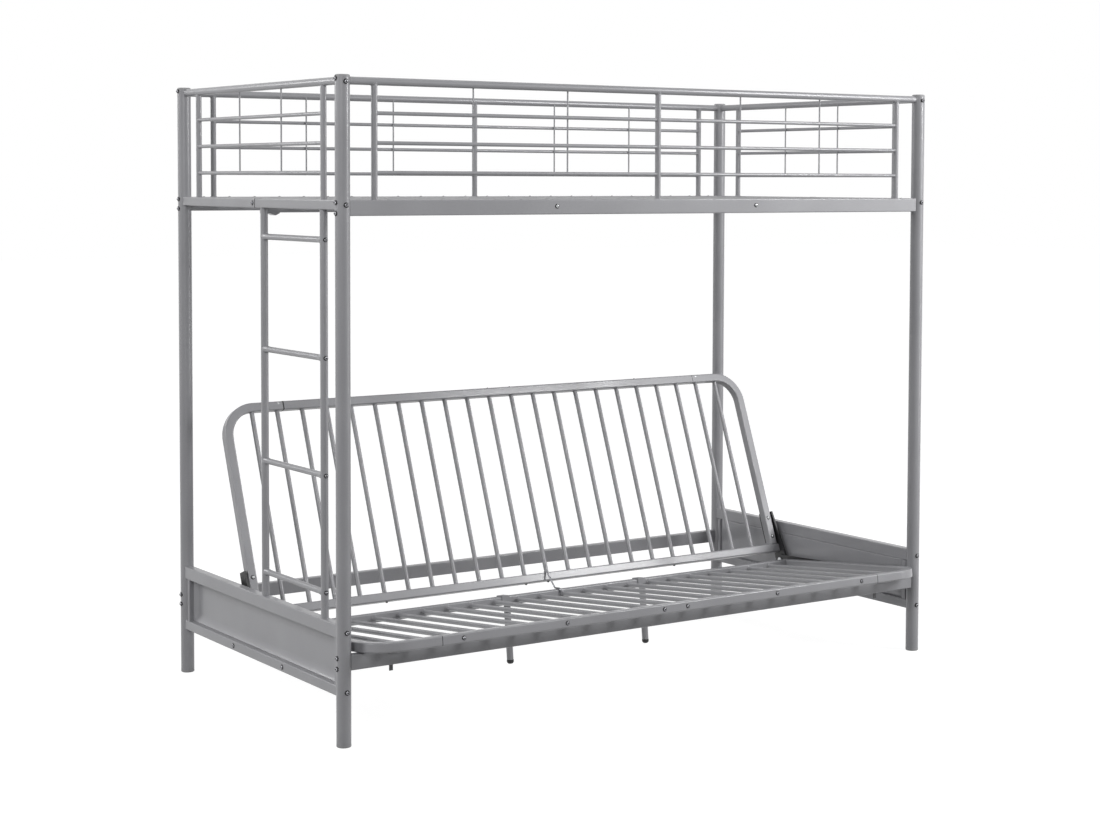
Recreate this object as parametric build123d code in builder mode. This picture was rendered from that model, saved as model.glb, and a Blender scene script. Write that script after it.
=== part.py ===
from build123d import *
from math import atan2, cos, degrees, hypot, radians, sin, sqrt
import os

# A metal bunk bed over a sofa bed. X runs along the bed, the front is at -Y, Z is up.
# The origin is on the floor, in the middle of the footprint that the bed takes as a sofa.

# Posts, their caps and feet
post_spacing_x = 1950
post_spacing_y = 958
post_radius = 19
post_wall = 1.5
bed_height = 1686
cap_crown = 6
cap_round = 4
foot_sole = 8
foot_edge = 1.5
plug_depth = 18
plug_clearance = 0.2

# The round hollows in tube ends that meet another tube keep this small gap
saddle_gap = 0.15

# Square and rectangular steel tube
tube_wall = 1.5
tube_corner = 3

# Guard rails round the upper bed
top_rail_radius = 10
top_rail_wall = 1.2
top_rail_drop = 15
guard_height = 296
bar_radius = 5
lowest_bar_rise = 68
top_bar_drop = 79
bar_count = 3
stile_radius = 8
stile_inset = 90
end_stile_inset = 101
wire_radius = 2.25
wire_gap = 0.1
bays = 3

# Upper bed deck
side_rail_height = 40
side_rail_depth = 22
end_rail_size = 25
deck_slat_radius = 6.5
slat_wall = 1.2
slat_margin = 55
deck_slat_count = 24
beam_width = 25
beam_height = 25
beam_gap = 0.3
bracket_reach = 32
bracket_drop = 9
bracket_slope = 20
bracket_wall = 2.5

# Ladder on the left end
ladder_rail_radius = 10
ladder_rail_wall = 1.5
ladder_front_inset = 101
ladder_width = 341
rung_radius = 8
rung_flare = 2
rung_flare_length = 16
top_rung_drop = 101.5
low_rung_rise = 66
rung_count = 4

# End panels beside the seat
panel_depth = 26
panel_top_z = 309
panel_top_height = 35
panel_foot_z = 127
panel_foot_height = 27
sheet_thickness = 1.5
sheet_lap = 5
sheet_press = 9
sheet_flare = 26
sheet_corner = 12
sheet_fold = 40
upright_width = 15
upright_recess = 4

# Lower side rails, front and rear
lower_rail_top_z = 233

# Bolt heads
post_bolt_radius = 5.5
post_bolt_head = 4.5
bolt_dome = 1.5
rail_bolt_offset = 13.5
cap_bolt_rise = 5
cap_bolt_drop = 3
small_bolt_radius = 5
small_bolt_head = 3
small_bolt_dome = 1
deck_bolt_x = 340
deck_bolt_rise = 2
beam_bolt_y = 9
middle_bolt_x = 40
seat_bolt_inset = 63
back_screw_inset = 225
back_screw_radius = 3.5
back_screw_head = 2.5

# Sofa frames: one square tube size for the seat and the back
frame_tube = 26
frame_corner = 4
frame_bend = 87
seam_straight = 95.5
seam_gap = 0.4
frame_slat_radius = 6.5
frame_slat_count = 22
cap_head = 2.5
cap_edge = 1.5

# Seat: it slopes up to the front and slides over the front rail on two glides
seat_slope = 6.376
glide_gap = 0.3
seat_lift = 1
seat_overhang = 85.1
seat_depth = 617
seat_travel = 262

# Back: it leans from upright and folds about two pivots behind the seat
back_lean = 21.13
back_depth = 585.5
pivot_setback = 48.3
pivot_offset = 8
pivot_to_back = 40.5
back_rail_stub = 4

# Hinge: link plates on the seat, arms on the back
link_thickness = 4
link_nose_radius = 12
link_heel_radius = 15
link_eye_radius = 17
link_bolt_places = (420, 510)
arm_gap = 0.3
arm_thickness = 6
arm_eye_radius = 26
arm_length = 160.5
arm_end_length = 12
arm_flange_thickness = 4
arm_flange_start = 62
arm_flange_inset = 2
arm_bolts = (79, 140.5)
pin_radius = 5
pin_running_fit = 0.05
pin_head_radius = 8
pin_head = 3
pin_end_gap = 0.6
pin_collar_gap = 4.4

# Brackets on the end panels that carry the sofa's rear
bracket_thickness = 4
bracket_foot_radius = 12
bracket_head_radius = 14
guide_head_radius = 10
guide_bolt_y = 158
guide_stud_radius = 6
guide_stud_drop = 23.8
guide_clearance = 0.3
rest_bolt_y = 142
rest_head_setback = 5
rest_head_drop = 11
rest_clearance = 0.3
rest_mouth = 60

# Glides on the front lower rail
glide_width = 30
glide_front = 17
glide_back = 11.5
glide_height = 11
glide_round = 30
glide_lip = 8
glide_lip_thickness = 4.4
glide_groove_gap = 0.3
tongue_shift = 8
tongue_width = 10
tongue_thickness = 3
tongue_low_z = 172.6
tongue_rise = 5

# Support legs under the seat's rear rail
leg_radius = 10
leg_wall = 1.5
leg_xs = (-151, 343)
leg_floor_gap = 3
tip_radius = 10.5
tip_height = 12
tip_dome = 8
tip_stem = 14
tip_fit = 0.1
saddle_width = 24
saddle_shift = 13
saddle_thickness = 2.5
saddle_leg = 16
saddle_fit = 0.2

# Wire stay between the back's bottom rail and the seat's rear rail
stay_x = 30
stay_radius = 2.5
stay_bend = 6
stay_gap = 0.4
stay_hold = 11
stay_drop = 12


# Heights and lines that the pieces share
tilt_cos = cos(radians(seat_slope))
tilt_sin = sin(radians(seat_slope))
half_tube = frame_tube / 2
seat_mid = seat_lift + half_tube
bolt_low = seat_mid - small_bolt_radius
seat_reach = (seat_overhang + half_tube + small_bolt_head) * tilt_cos - bolt_low * tilt_sin
rear_reach = post_radius + post_bolt_head
mid_y = (seat_reach - rear_reach) / 2
front_y = mid_y - post_spacing_y / 2
rear_y = mid_y + post_spacing_y / 2
post_x = post_spacing_x / 2
post_places = [(x, y) for x in (-post_x, post_x) for y in (front_y, rear_y)]
top_rail_z = bed_height - top_rail_drop
deck_top_z = top_rail_z - guard_height
stile_x = post_x - stile_inset
end_stile_front_y = front_y + end_stile_inset
end_stile_rear_y = rear_y - end_stile_inset
lowest_bar_z = deck_top_z + lowest_bar_rise
bar_pitch = (guard_height - lowest_bar_rise - top_bar_drop) / (bar_count - 1)
guard_bar_zs = [lowest_bar_z + i * bar_pitch for i in range(bar_count)]
slat_pitch = (post_spacing_x - 2 * slat_margin) / (deck_slat_count - 1)
deck_rail_z = deck_top_z - side_rail_height / 2
end_rail_z = deck_top_z - end_rail_size / 2
deck_slat_z = deck_top_z - deck_slat_radius
front_inner_y = front_y + side_rail_depth / 2
rear_inner_y = rear_y - side_rail_depth / 2
lower_rail_z = lower_rail_top_z - side_rail_height / 2
panel_inner_x = post_x - panel_depth / 2
panel_outer_x = post_x + panel_depth / 2
panel_face_x = panel_inner_x - sheet_thickness
panel_top_mid_z = panel_top_z - panel_top_height / 2
panel_foot_mid_z = panel_foot_z + panel_foot_height / 2
sheet_top_z = panel_top_z - panel_top_height + sheet_lap
glide_z = lower_rail_top_z + glide_gap

# The seat's plane passes through the glides' axis: x along the bed, y to the rear, z up
seat_plane = Plane(
    origin=(0, front_y, glide_z), x_dir=(1, 0, 0), z_dir=(0, tilt_sin, tilt_cos)
)
seat_back_dir = seat_plane.y_dir
seat_rear = seat_depth - seat_overhang
pivot_r = seat_rear + pivot_setback
pivot_n = seat_mid + pivot_offset
pivot = seat_plane.from_local_coords(Vector(0, pivot_r, pivot_n))

# The back's plane passes through the pivots: x along the bed, y up the back, z to the front
lean_cos = cos(radians(back_lean))
lean_sin = sin(radians(back_lean))
back_plane = Plane(origin=pivot, x_dir=(1, 0, 0), z_dir=(0, -lean_cos, lean_sin))
back_up_dir = back_plane.y_dir
back_top = pivot_to_back + back_depth

# From each panel inward: a bracket, the pin's collar, an arm, a link plate, the sofa frames
strap_x = panel_face_x - bracket_thickness
arm_outer_x = strap_x - pin_collar_gap - pin_head - arm_gap
arm_inner_x = arm_outer_x - arm_thickness
link_outer_x = arm_inner_x - arm_gap
frame_outer_x = link_outer_x - link_thickness
frame_half_width = frame_outer_x - half_tube
frame_seam_x = frame_half_width - frame_bend - seam_straight
frame_slat_xs = [
    (i - (frame_slat_count - 1) / 2) * slat_pitch for i in range(frame_slat_count)
]
glide_x = frame_slat_xs[-1]
tongue_x = glide_x - tongue_shift


def tube_outline(width, height, corner, wall):
    """The outline of a rectangular tube, in the sketch that is open."""
    RectangleRounded(width, height, corner)
    RectangleRounded(width - 2 * wall, height - 2 * wall, corner - wall, mode=Mode.SUBTRACT)


def ring_outline(radius, wall):
    """The outline of a round tube, in the sketch that is open."""
    Circle(radius)
    Circle(radius - wall, mode=Mode.SUBTRACT)


def cut_round(x, y, radius, low, high):
    """Cut an upright cylinder out of the part that is open."""
    with BuildSketch(Plane.XY.offset(low)) as round_cut:
        with Locations((x, y)):
            Circle(radius)
    extrude(round_cut.sketch, amount=high - low, mode=Mode.SUBTRACT)


def cut_for_posts():
    """Cut the ends of a rail to the round of the posts."""
    for x, y in post_places:
        cut_round(x, y, post_radius + saddle_gap, 0, bed_height)


def side_plane(x, along, origin):
    """A plane square to X at x, whose first direction is along, from a point on it."""
    return Plane(origin=(x, origin.Y, origin.Z), x_dir=along, z_dir=(1, 0, 0))


def keep(piece, name):
    """Label a finished piece and write it."""
    piece.part.label = name
    export_step(piece.part, f"parts/{name}.step")


os.makedirs("parts", exist_ok=True)


# Posts: four round tubes from floor to guard
def post(x, y, name):
    """One post, a tube between its foot and its cap."""
    with BuildPart() as tube:
        with BuildSketch(Plane.XY.offset(foot_sole)):
            with Locations((x, y)):
                ring_outline(post_radius, post_wall)
        extrude(amount=bed_height - cap_crown - foot_sole)
    keep(tube, name)


post(-post_x, front_y, "post_front_left")
post(post_x, front_y, "post_front_right")
post(-post_x, rear_y, "post_rear_left")
post(post_x, rear_y, "post_rear_right")

plug_radius = post_radius - post_wall - plug_clearance
with BuildPart() as post_caps:
    with BuildSketch(Plane.XY.offset(bed_height - cap_crown)):
        with Locations(*post_places):
            Circle(post_radius)
    extrude(amount=cap_crown)
    fillet(post_caps.edges().group_by(Axis.Z)[-1], radius=cap_round)
    with BuildSketch(Plane.XY.offset(bed_height - cap_crown - plug_depth)):
        with Locations(*post_places):
            Circle(plug_radius)
    extrude(amount=plug_depth)
keep(post_caps, "post_caps")

with BuildPart() as post_feet:
    with BuildSketch():
        with Locations(*post_places):
            Circle(post_radius)
    extrude(amount=foot_sole)
    chamfer(post_feet.edges().group_by(Axis.Z)[0], length=foot_edge)
    with BuildSketch(Plane.XY.offset(foot_sole)):
        with Locations(*post_places):
            Circle(plug_radius)
    extrude(amount=plug_depth)
keep(post_feet, "post_feet")


# Guard top rails: round tubes with their ends hollowed to the posts
def long_guard_rail(y, name):
    """A top rail along the bed."""
    with BuildPart() as rail:
        with BuildSketch(Plane.YZ.offset(-post_x)):
            with Locations((y, top_rail_z)):
                ring_outline(top_rail_radius, top_rail_wall)
        extrude(amount=post_spacing_x)
        cut_for_posts()
    keep(rail, name)


long_guard_rail(front_y, "guard_front_top_rail")
long_guard_rail(rear_y, "guard_rear_top_rail")

with BuildPart() as guard_end_top_rails:
    with BuildSketch(Plane.XZ.offset(-rear_y)):
        with Locations((-post_x, top_rail_z), (post_x, top_rail_z)):
            ring_outline(top_rail_radius, top_rail_wall)
    extrude(amount=post_spacing_y)
    cut_for_posts()
keep(guard_end_top_rails, "guard_end_top_rails")


# Guard bars: thin bars between the stiles, hollowed to them
def long_guard_bars(y, name):
    """The bars of one long side."""
    with BuildPart() as bars:
        with BuildSketch(Plane.YZ.offset(-stile_x)):
            with Locations(*[(y, z) for z in guard_bar_zs]):
                Circle(bar_radius)
        extrude(amount=2 * stile_x)
        for x in (-stile_x, 0, stile_x):
            cut_round(x, y, stile_radius + saddle_gap, deck_top_z, top_rail_z)
    keep(bars, name)


long_guard_bars(front_y, "guard_front_bars")
long_guard_bars(rear_y, "guard_rear_bars")

with BuildPart() as guard_end_bars:
    with BuildSketch(Plane.XZ.offset(-end_stile_rear_y)):
        with Locations(*[(x, z) for x in (-post_x, post_x) for z in guard_bar_zs]):
            Circle(bar_radius)
    extrude(amount=end_stile_rear_y - end_stile_front_y)
    for x in (-post_x, post_x):
        for y in (end_stile_front_y, end_stile_rear_y):
            cut_round(x, y, stile_radius + saddle_gap, deck_top_z, top_rail_z)
keep(guard_end_bars, "guard_end_bars")

# Guard stiles: upright tubes from the deck rails to the top rails
with BuildPart() as guard_long_stiles:
    with BuildSketch(Plane.XY.offset(deck_top_z)):
        with Locations(*[(x, y) for x in (-stile_x, 0, stile_x) for y in (front_y, rear_y)]):
            Circle(stile_radius)
    extrude(amount=top_rail_z - deck_top_z)
    with BuildSketch(Plane.YZ.offset(-post_x)):
        with Locations((front_y, top_rail_z), (rear_y, top_rail_z)):
            Circle(top_rail_radius + saddle_gap)
    extrude(amount=post_spacing_x, mode=Mode.SUBTRACT)
keep(guard_long_stiles, "guard_long_stiles")

end_stile_places = [
    (x, y) for x in (-post_x, post_x) for y in (end_stile_front_y, end_stile_rear_y)
]
with BuildPart() as guard_end_stiles:
    with BuildSketch(Plane.XY.offset(deck_top_z)):
        with Locations(*end_stile_places):
            Circle(stile_radius)
    extrude(amount=top_rail_z - deck_top_z)
    with BuildSketch(Plane.XZ.offset(-rear_y)):
        with Locations((-post_x, top_rail_z), (post_x, top_rail_z)):
            Circle(top_rail_radius + saddle_gap)
    extrude(amount=post_spacing_y, mode=Mode.SUBTRACT)
keep(guard_end_stiles, "guard_end_stiles")

# Guard wires: thin rods on the inner side of the bars, from the lowest bar to the top rail
wire_inset = bar_radius + wire_radius + wire_gap
long_wire_xs = [side * i * stile_x / bays for side in (-1, 1) for i in range(1, bays)]
end_bay = (end_stile_rear_y - end_stile_front_y) / bays
end_wire_ys = [end_stile_front_y + i * end_bay for i in range(1, bays)]
wire_places = [(x, front_y + wire_inset) for x in long_wire_xs]
wire_places += [(x, rear_y - wire_inset) for x in long_wire_xs]
wire_places += [(-post_x + wire_inset, y) for y in end_wire_ys]
wire_places += [(post_x - wire_inset, y) for y in end_wire_ys]
with BuildPart() as guard_wires:
    with BuildSketch(Plane.XY.offset(lowest_bar_z - bar_radius)):
        with Locations(*wire_places):
            Circle(wire_radius)
    extrude(amount=top_rail_z + bar_radius - lowest_bar_z)
    with BuildSketch(Plane.YZ.offset(-post_x)):
        with Locations((front_y, top_rail_z), (rear_y, top_rail_z)):
            Circle(top_rail_radius + wire_gap)
    extrude(amount=post_spacing_x, mode=Mode.SUBTRACT)
    with BuildSketch(Plane.XZ.offset(-rear_y)):
        with Locations((-post_x, top_rail_z), (post_x, top_rail_z)):
            Circle(top_rail_radius + wire_gap)
    extrude(amount=post_spacing_y, mode=Mode.SUBTRACT)
keep(guard_wires, "guard_wires")


# Side rails: the same rectangular tube carries the deck and joins the posts below
def side_rail(y, z, name):
    """A rail along the bed between two posts."""
    with BuildPart() as rail:
        with BuildSketch(Plane.YZ.offset(-post_x)):
            with Locations((y, z)):
                tube_outline(side_rail_depth, side_rail_height, tube_corner, tube_wall)
        extrude(amount=post_spacing_x)
        cut_for_posts()
    keep(rail, name)


side_rail(front_y, deck_rail_z, "deck_front_rail")
side_rail(rear_y, deck_rail_z, "deck_rear_rail")
side_rail(front_y, lower_rail_z, "lower_front_rail")
side_rail(rear_y, lower_rail_z, "lower_rear_rail")

with BuildPart() as deck_end_rails:
    with BuildSketch(Plane.XZ.offset(-rear_y)):
        with Locations((-post_x, end_rail_z), (post_x, end_rail_z)):
            tube_outline(end_rail_size, end_rail_size, tube_corner, tube_wall)
    extrude(amount=post_spacing_y)
    cut_for_posts()
keep(deck_end_rails, "deck_end_rails")

# Deck: cross slats between the side rails, with a beam along the middle under them
with BuildPart() as deck_slats:
    with BuildSketch(Plane.XZ.offset(-rear_inner_y)):
        with Locations((0, deck_slat_z)):
            with GridLocations(slat_pitch, 0, deck_slat_count, 1):
                ring_outline(deck_slat_radius, slat_wall)
    extrude(amount=rear_inner_y - front_inner_y)
keep(deck_slats, "deck_slats")

beam_top_z = deck_slat_z - deck_slat_radius - beam_gap
beam_end_x = post_x - end_rail_size / 2
with BuildPart() as deck_centre_beam:
    with BuildSketch(Plane.YZ.offset(-beam_end_x)):
        with Locations((mid_y, beam_top_z - beam_height / 2)):
            tube_outline(beam_width, beam_height, tube_corner, tube_wall)
    extrude(amount=2 * beam_end_x)
keep(deck_centre_beam, "deck_centre_beam")

# Beam brackets: folded trays under the end rails that hold the beam's two ends
beam_low_z = beam_top_z - beam_height
end_rail_low_z = deck_top_z - end_rail_size
bracket_low_z = beam_low_z - bracket_drop
bracket_tip_x = beam_end_x - bracket_reach
with BuildPart() as deck_beam_brackets:
    with BuildSketch(Plane.XZ.offset(-mid_y - beam_width / 2)):
        with BuildLine():
            Polyline(
                (post_x, end_rail_low_z),
                (beam_end_x, end_rail_low_z),
                (beam_end_x, beam_low_z),
                (bracket_tip_x, beam_low_z),
                (bracket_tip_x + bracket_slope, bracket_low_z),
                (post_x, bracket_low_z),
                close=True,
            )
        make_face()
    extrude(amount=beam_width)
    with BuildSketch(Plane.XZ.offset(bracket_wall - mid_y - beam_width / 2)):
        with BuildLine():
            Polyline(
                (post_x - bracket_wall, end_rail_low_z - bracket_wall),
                (beam_end_x + bracket_wall, end_rail_low_z - bracket_wall),
                (beam_end_x + bracket_wall, beam_low_z),
                (bracket_tip_x + 2 * bracket_wall, beam_low_z),
                (bracket_tip_x + bracket_slope, bracket_low_z + bracket_wall),
                (post_x - bracket_wall, bracket_low_z + bracket_wall),
                close=True,
            )
        make_face()
    extrude(amount=beam_width - 2 * bracket_wall, mode=Mode.SUBTRACT)
    mirror(about=Plane.YZ)
keep(deck_beam_brackets, "deck_beam_brackets")

# Ladder: two round rails between the left panel and the deck, and four bolted rungs
ladder_front_y = front_y + ladder_front_inset
ladder_rear_y = ladder_front_y + ladder_width
top_rung_z = deck_top_z - top_rung_drop
rung_pitch = (top_rung_z - panel_top_z - low_rung_rise) / (rung_count - 1)
rung_zs = [top_rung_z - i * rung_pitch for i in range(rung_count)]
with BuildPart() as ladder_rails:
    with BuildSketch(Plane.XY.offset(panel_top_z)):
        with Locations((-post_x, ladder_front_y), (-post_x, ladder_rear_y)):
            ring_outline(ladder_rail_radius, ladder_rail_wall)
    extrude(amount=end_rail_low_z - panel_top_z)
keep(ladder_rails, "ladder_rails")

with BuildPart() as ladder_rungs:
    for z in rung_zs:
        with BuildSketch(Plane((-post_x, ladder_front_y, z), (1, 0, 0), (0, 0, 1))):
            with BuildLine():
                Polyline(
                    (0, 0),
                    (rung_radius + rung_flare, 0),
                    (rung_radius + rung_flare, ladder_rail_radius),
                    (rung_radius, ladder_rail_radius + rung_flare_length),
                    (rung_radius, ladder_width - ladder_rail_radius - rung_flare_length),
                    (rung_radius + rung_flare, ladder_width - ladder_rail_radius),
                    (rung_radius + rung_flare, ladder_width),
                    (0, ladder_width),
                    close=True,
                )
            make_face()
        revolve(axis=Axis((-post_x, ladder_front_y, z), (0, 1, 0)))
    for y in (ladder_front_y, ladder_rear_y):
        cut_round(-post_x, y, ladder_rail_radius + saddle_gap, panel_top_z, end_rail_low_z)
keep(ladder_rungs, "ladder_rungs")


# End panels: a top and a foot rail, short uprights, and a pressed sheet on the inner side
upright_depth = panel_depth - upright_recess
upright_start = post_radius + saddle_gap
sheet_start = upright_start + upright_width + saddle_gap
sheet_low_z = panel_foot_z + panel_foot_height + saddle_gap
sheet_high_z = panel_top_z - panel_top_height - saddle_gap
sheet_length = post_spacing_y - 2 * sheet_start


def panel_rail(mid_z, height, name):
    """A right panel rail between the posts."""
    with BuildPart() as rail:
        with BuildSketch(Plane.XZ.offset(-rear_y)):
            with Locations((post_x, mid_z)):
                tube_outline(panel_depth, height, tube_corner, tube_wall)
        extrude(amount=post_spacing_y)
        cut_for_posts()
    keep(rail, name)
    return rail


def left_copy(right, name):
    """The left copy of a right-hand piece."""
    with BuildPart() as left:
        mirror(right.part, about=Plane.YZ)
    keep(left, name)


panel_right_top_rail = panel_rail(panel_top_mid_z, panel_top_height, "panel_right_top_rail")
left_copy(panel_right_top_rail, "panel_left_top_rail")
panel_right_foot_rail = panel_rail(panel_foot_mid_z, panel_foot_height, "panel_right_foot_rail")
left_copy(panel_right_foot_rail, "panel_left_foot_rail")


def pressed_form(field_x):
    """The form that presses a sheet: a flat field at field_x that flares out to a rim."""
    height = 2 * (sheet_top_z - sheet_low_z)
    with BuildPart() as form:
        with BuildSketch(Plane.YZ.offset(field_x)):
            with Locations((mid_y, sheet_top_z)):
                RectangleRounded(
                    sheet_length - 2 * sheet_flare, height - 2 * sheet_flare, sheet_corner
                )
        with BuildSketch(Plane.YZ.offset(field_x + sheet_press)):
            with Locations((mid_y, sheet_top_z)):
                RectangleRounded(sheet_length, height, sheet_corner + sheet_flare)
        loft(ruled=True)
        fillet(form.faces().sort_by(Axis.X)[0].edges(), radius=sheet_fold)
        with BuildSketch(Plane.XY.offset(sheet_high_z)):
            with Locations((field_x + sheet_press / 2, mid_y)):
                Rectangle(sheet_press, sheet_length)
        extrude(amount=height, mode=Mode.SUBTRACT)
    return form.part


form_inside = pressed_form(panel_face_x)
form_outside = pressed_form(panel_inner_x)
with BuildPart() as panel_right_sheet:
    add(form_inside)
    add(form_outside, mode=Mode.SUBTRACT)
    with BuildSketch(Plane.YZ.offset(panel_face_x)):
        with Locations((mid_y, (sheet_high_z + sheet_top_z) / 2)):
            Rectangle(sheet_length - 2 * sheet_flare, sheet_top_z - sheet_high_z)
    extrude(amount=sheet_thickness)
keep(panel_right_sheet, "panel_right_sheet")
left_copy(panel_right_sheet, "panel_left_sheet")

upright_mid_x = panel_inner_x + upright_depth / 2
upright_low_z = panel_foot_z + panel_foot_height
with BuildPart() as panel_uprights:
    with BuildSketch(Plane.XY.offset(upright_low_z)):
        with Locations(
            (upright_mid_x, front_y + upright_start + upright_width / 2),
            (upright_mid_x, rear_y - upright_start - upright_width / 2),
        ):
            tube_outline(upright_depth, upright_width, tube_corner, tube_wall)
    extrude(amount=panel_top_z - panel_top_height - upright_low_z)
    mirror(about=Plane.YZ)
keep(panel_uprights, "panel_uprights")

# Guide brackets: straps on the foot rails, each with a stud that runs in a link plate's slot
guide_y = mid_y - guide_bolt_y
guide_z = glide_z - guide_stud_drop
stud_x = frame_outer_x + guide_clearance
with BuildPart() as guide_brackets:
    with BuildSketch(Plane.YZ.offset(strap_x)):
        with Locations((guide_y, panel_foot_mid_z)):
            Circle(bracket_foot_radius)
        with Locations((guide_y, guide_z)):
            Circle(guide_head_radius)
        make_hull()
    extrude(amount=bracket_thickness)
    with BuildSketch(Plane.YZ.offset(panel_face_x)):
        with Locations((guide_y, panel_foot_mid_z)):
            Circle(bracket_foot_radius)
    extrude(amount=sheet_thickness)
    with BuildSketch(Plane.YZ.offset(stud_x)):
        with Locations((guide_y, guide_z)):
            Circle(guide_stud_radius)
    extrude(amount=strap_x - stud_x)
    mirror(about=Plane.YZ)
keep(guide_brackets, "guide_brackets")

# Rest brackets: straps with an open cradle for the pivot pins, facing the way the pins leave
fold_rate = radians(seat_slope) / seat_travel
pin_out_y = -tilt_cos - fold_rate * (pivot.Z - glide_z)
pin_out_z = tilt_sin + fold_rate * (pivot.Y - front_y)
mouth_angle = degrees(atan2(pin_out_z, pin_out_y))
mouth_half = rest_mouth / 2 / hypot(pin_out_y, pin_out_z)
rest_y = mid_y + rest_bolt_y
with BuildPart() as rest_brackets:
    with BuildSketch(Plane.YZ.offset(strap_x)):
        with Locations((rest_y, panel_foot_mid_z)):
            Circle(bracket_foot_radius)
        with Locations((pivot.Y + rest_head_setback, pivot.Z - rest_head_drop)):
            Circle(bracket_head_radius)
        make_hull()
        with Locations((pivot.Y + mouth_half * pin_out_y, pivot.Z + mouth_half * pin_out_z)):
            SlotCenterToCenter(
                rest_mouth,
                2 * (pin_radius + rest_clearance),
                rotation=mouth_angle,
                mode=Mode.SUBTRACT,
            )
    extrude(amount=bracket_thickness)
    with BuildSketch(Plane.YZ.offset(panel_face_x)):
        with Locations((rest_y, panel_foot_mid_z)):
            Circle(bracket_foot_radius)
    extrude(amount=sheet_thickness)
    mirror(about=Plane.YZ)
keep(rest_brackets, "rest_brackets")

# Glides: moulded pads, round below where they rock on the rail, grooved above for a slat
groove_radius = frame_slat_radius + glide_groove_gap
lip_y = front_y - glide_front + glide_lip_thickness
lip_rise = glide_round - sqrt(glide_round**2 - (front_y - lip_y) ** 2)
back_rise = glide_round - sqrt(glide_round**2 - glide_back**2)
with BuildPart() as glide_pads:
    with BuildSketch(Plane.YZ.offset(glide_x - glide_width / 2)):
        with BuildLine():
            Polyline(
                (lip_y, glide_z + lip_rise),
                (lip_y, glide_z - glide_lip),
                (front_y - glide_front, glide_z - glide_lip),
                (front_y - glide_front, glide_z + glide_height),
                (front_y + glide_back, glide_z + glide_height),
                (front_y + glide_back, glide_z + back_rise),
            )
            ThreePointArc(
                (front_y + glide_back, glide_z + back_rise),
                (front_y, glide_z),
                (lip_y, glide_z + lip_rise),
            )
        make_face()
    extrude(amount=glide_width)
    groove_start = seat_plane.from_local_coords(Vector(glide_x, 0, seat_mid))
    with BuildSketch(Plane(groove_start, (1, 0, 0), seat_back_dir)):
        Circle(groove_radius)
    extrude(amount=glide_front + glide_back, both=True, mode=Mode.SUBTRACT)
    mirror(about=Plane.YZ)
keep(glide_pads, "glide_pads")

with BuildPart() as glide_tongues:
    with BuildSketch(Plane.XY.offset(tongue_low_z)):
        with Locations(
            (-tongue_x, front_y + glide_back + tongue_thickness / 2),
            (tongue_x, front_y + glide_back + tongue_thickness / 2),
        ):
            Rectangle(tongue_width, tongue_thickness)
    extrude(amount=glide_z + tongue_rise - tongue_low_z)
keep(glide_tongues, "glide_tongues")


# Sofa frames: straight rails, and corner pieces bent in the frame's plane
def frame_rail(plane, along, half_length, place, name):
    """A straight rail along the bed; place is its distance along the frame's plane."""
    start = plane.from_local_coords(Vector(-half_length, place, 0))
    with BuildPart() as rail:
        with BuildSketch(side_plane(-half_length, along, start)):
            tube_outline(frame_tube, frame_tube, frame_corner, tube_wall)
        extrude(amount=2 * half_length)
    keep(rail, name)


def frame_corner_piece(plane, along, seam_place, end_place, name):
    """A right corner piece, from the seam of a cross rail round to a leg's free end."""
    start_x = frame_seam_x + seam_gap / 2
    start = plane.from_local_coords(Vector(start_x, seam_place, 0))
    with BuildPart() as corner:
        with BuildLine(plane):
            FilletPolyline(
                (start_x, seam_place),
                (frame_half_width, seam_place),
                (frame_half_width, end_place),
                radius=frame_bend,
            )
        with BuildSketch(side_plane(start_x, along, start)):
            tube_outline(frame_tube, frame_tube, frame_corner, tube_wall)
        sweep()
    keep(corner, name)
    return corner


def frame_slats(plane, along, bent, straight, name):
    """The round slats of a frame, trimmed to its outline between the bent and the straight rail."""
    origin = plane.from_local_coords(Vector(0, bent, 0))
    with BuildPart() as slats:
        with BuildSketch(Plane(origin, (1, 0, 0), along)):
            with Locations(*[(x, 0) for x in frame_slat_xs]):
                ring_outline(frame_slat_radius, slat_wall)
        extrude(amount=straight - bent)
        with BuildSketch(plane) as inside:
            with Locations((0, straight)):
                RectangleRounded(
                    2 * inner_half, 2 * abs(straight - bent), frame_bend - half_tube
                )
        extrude(inside.sketch, amount=half_tube, both=True, mode=Mode.INTERSECT)
    keep(slats, name)


seat_frame = seat_plane.offset(seat_mid)
seam_half = frame_seam_x - seam_gap / 2
inner_half = frame_half_width - half_tube
frame_rail(seat_frame, seat_back_dir, seam_half, -seat_overhang, "seat_front_rail")
frame_rail(seat_frame, seat_back_dir, inner_half, seat_rear, "seat_rear_rail")
seat_side_right = frame_corner_piece(
    seat_frame, seat_back_dir, -seat_overhang, seat_rear + half_tube, "seat_side_right"
)
left_copy(seat_side_right, "seat_side_left")
frame_slats(
    seat_frame, seat_back_dir, half_tube - seat_overhang, seat_rear - half_tube, "seat_slats"
)

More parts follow.
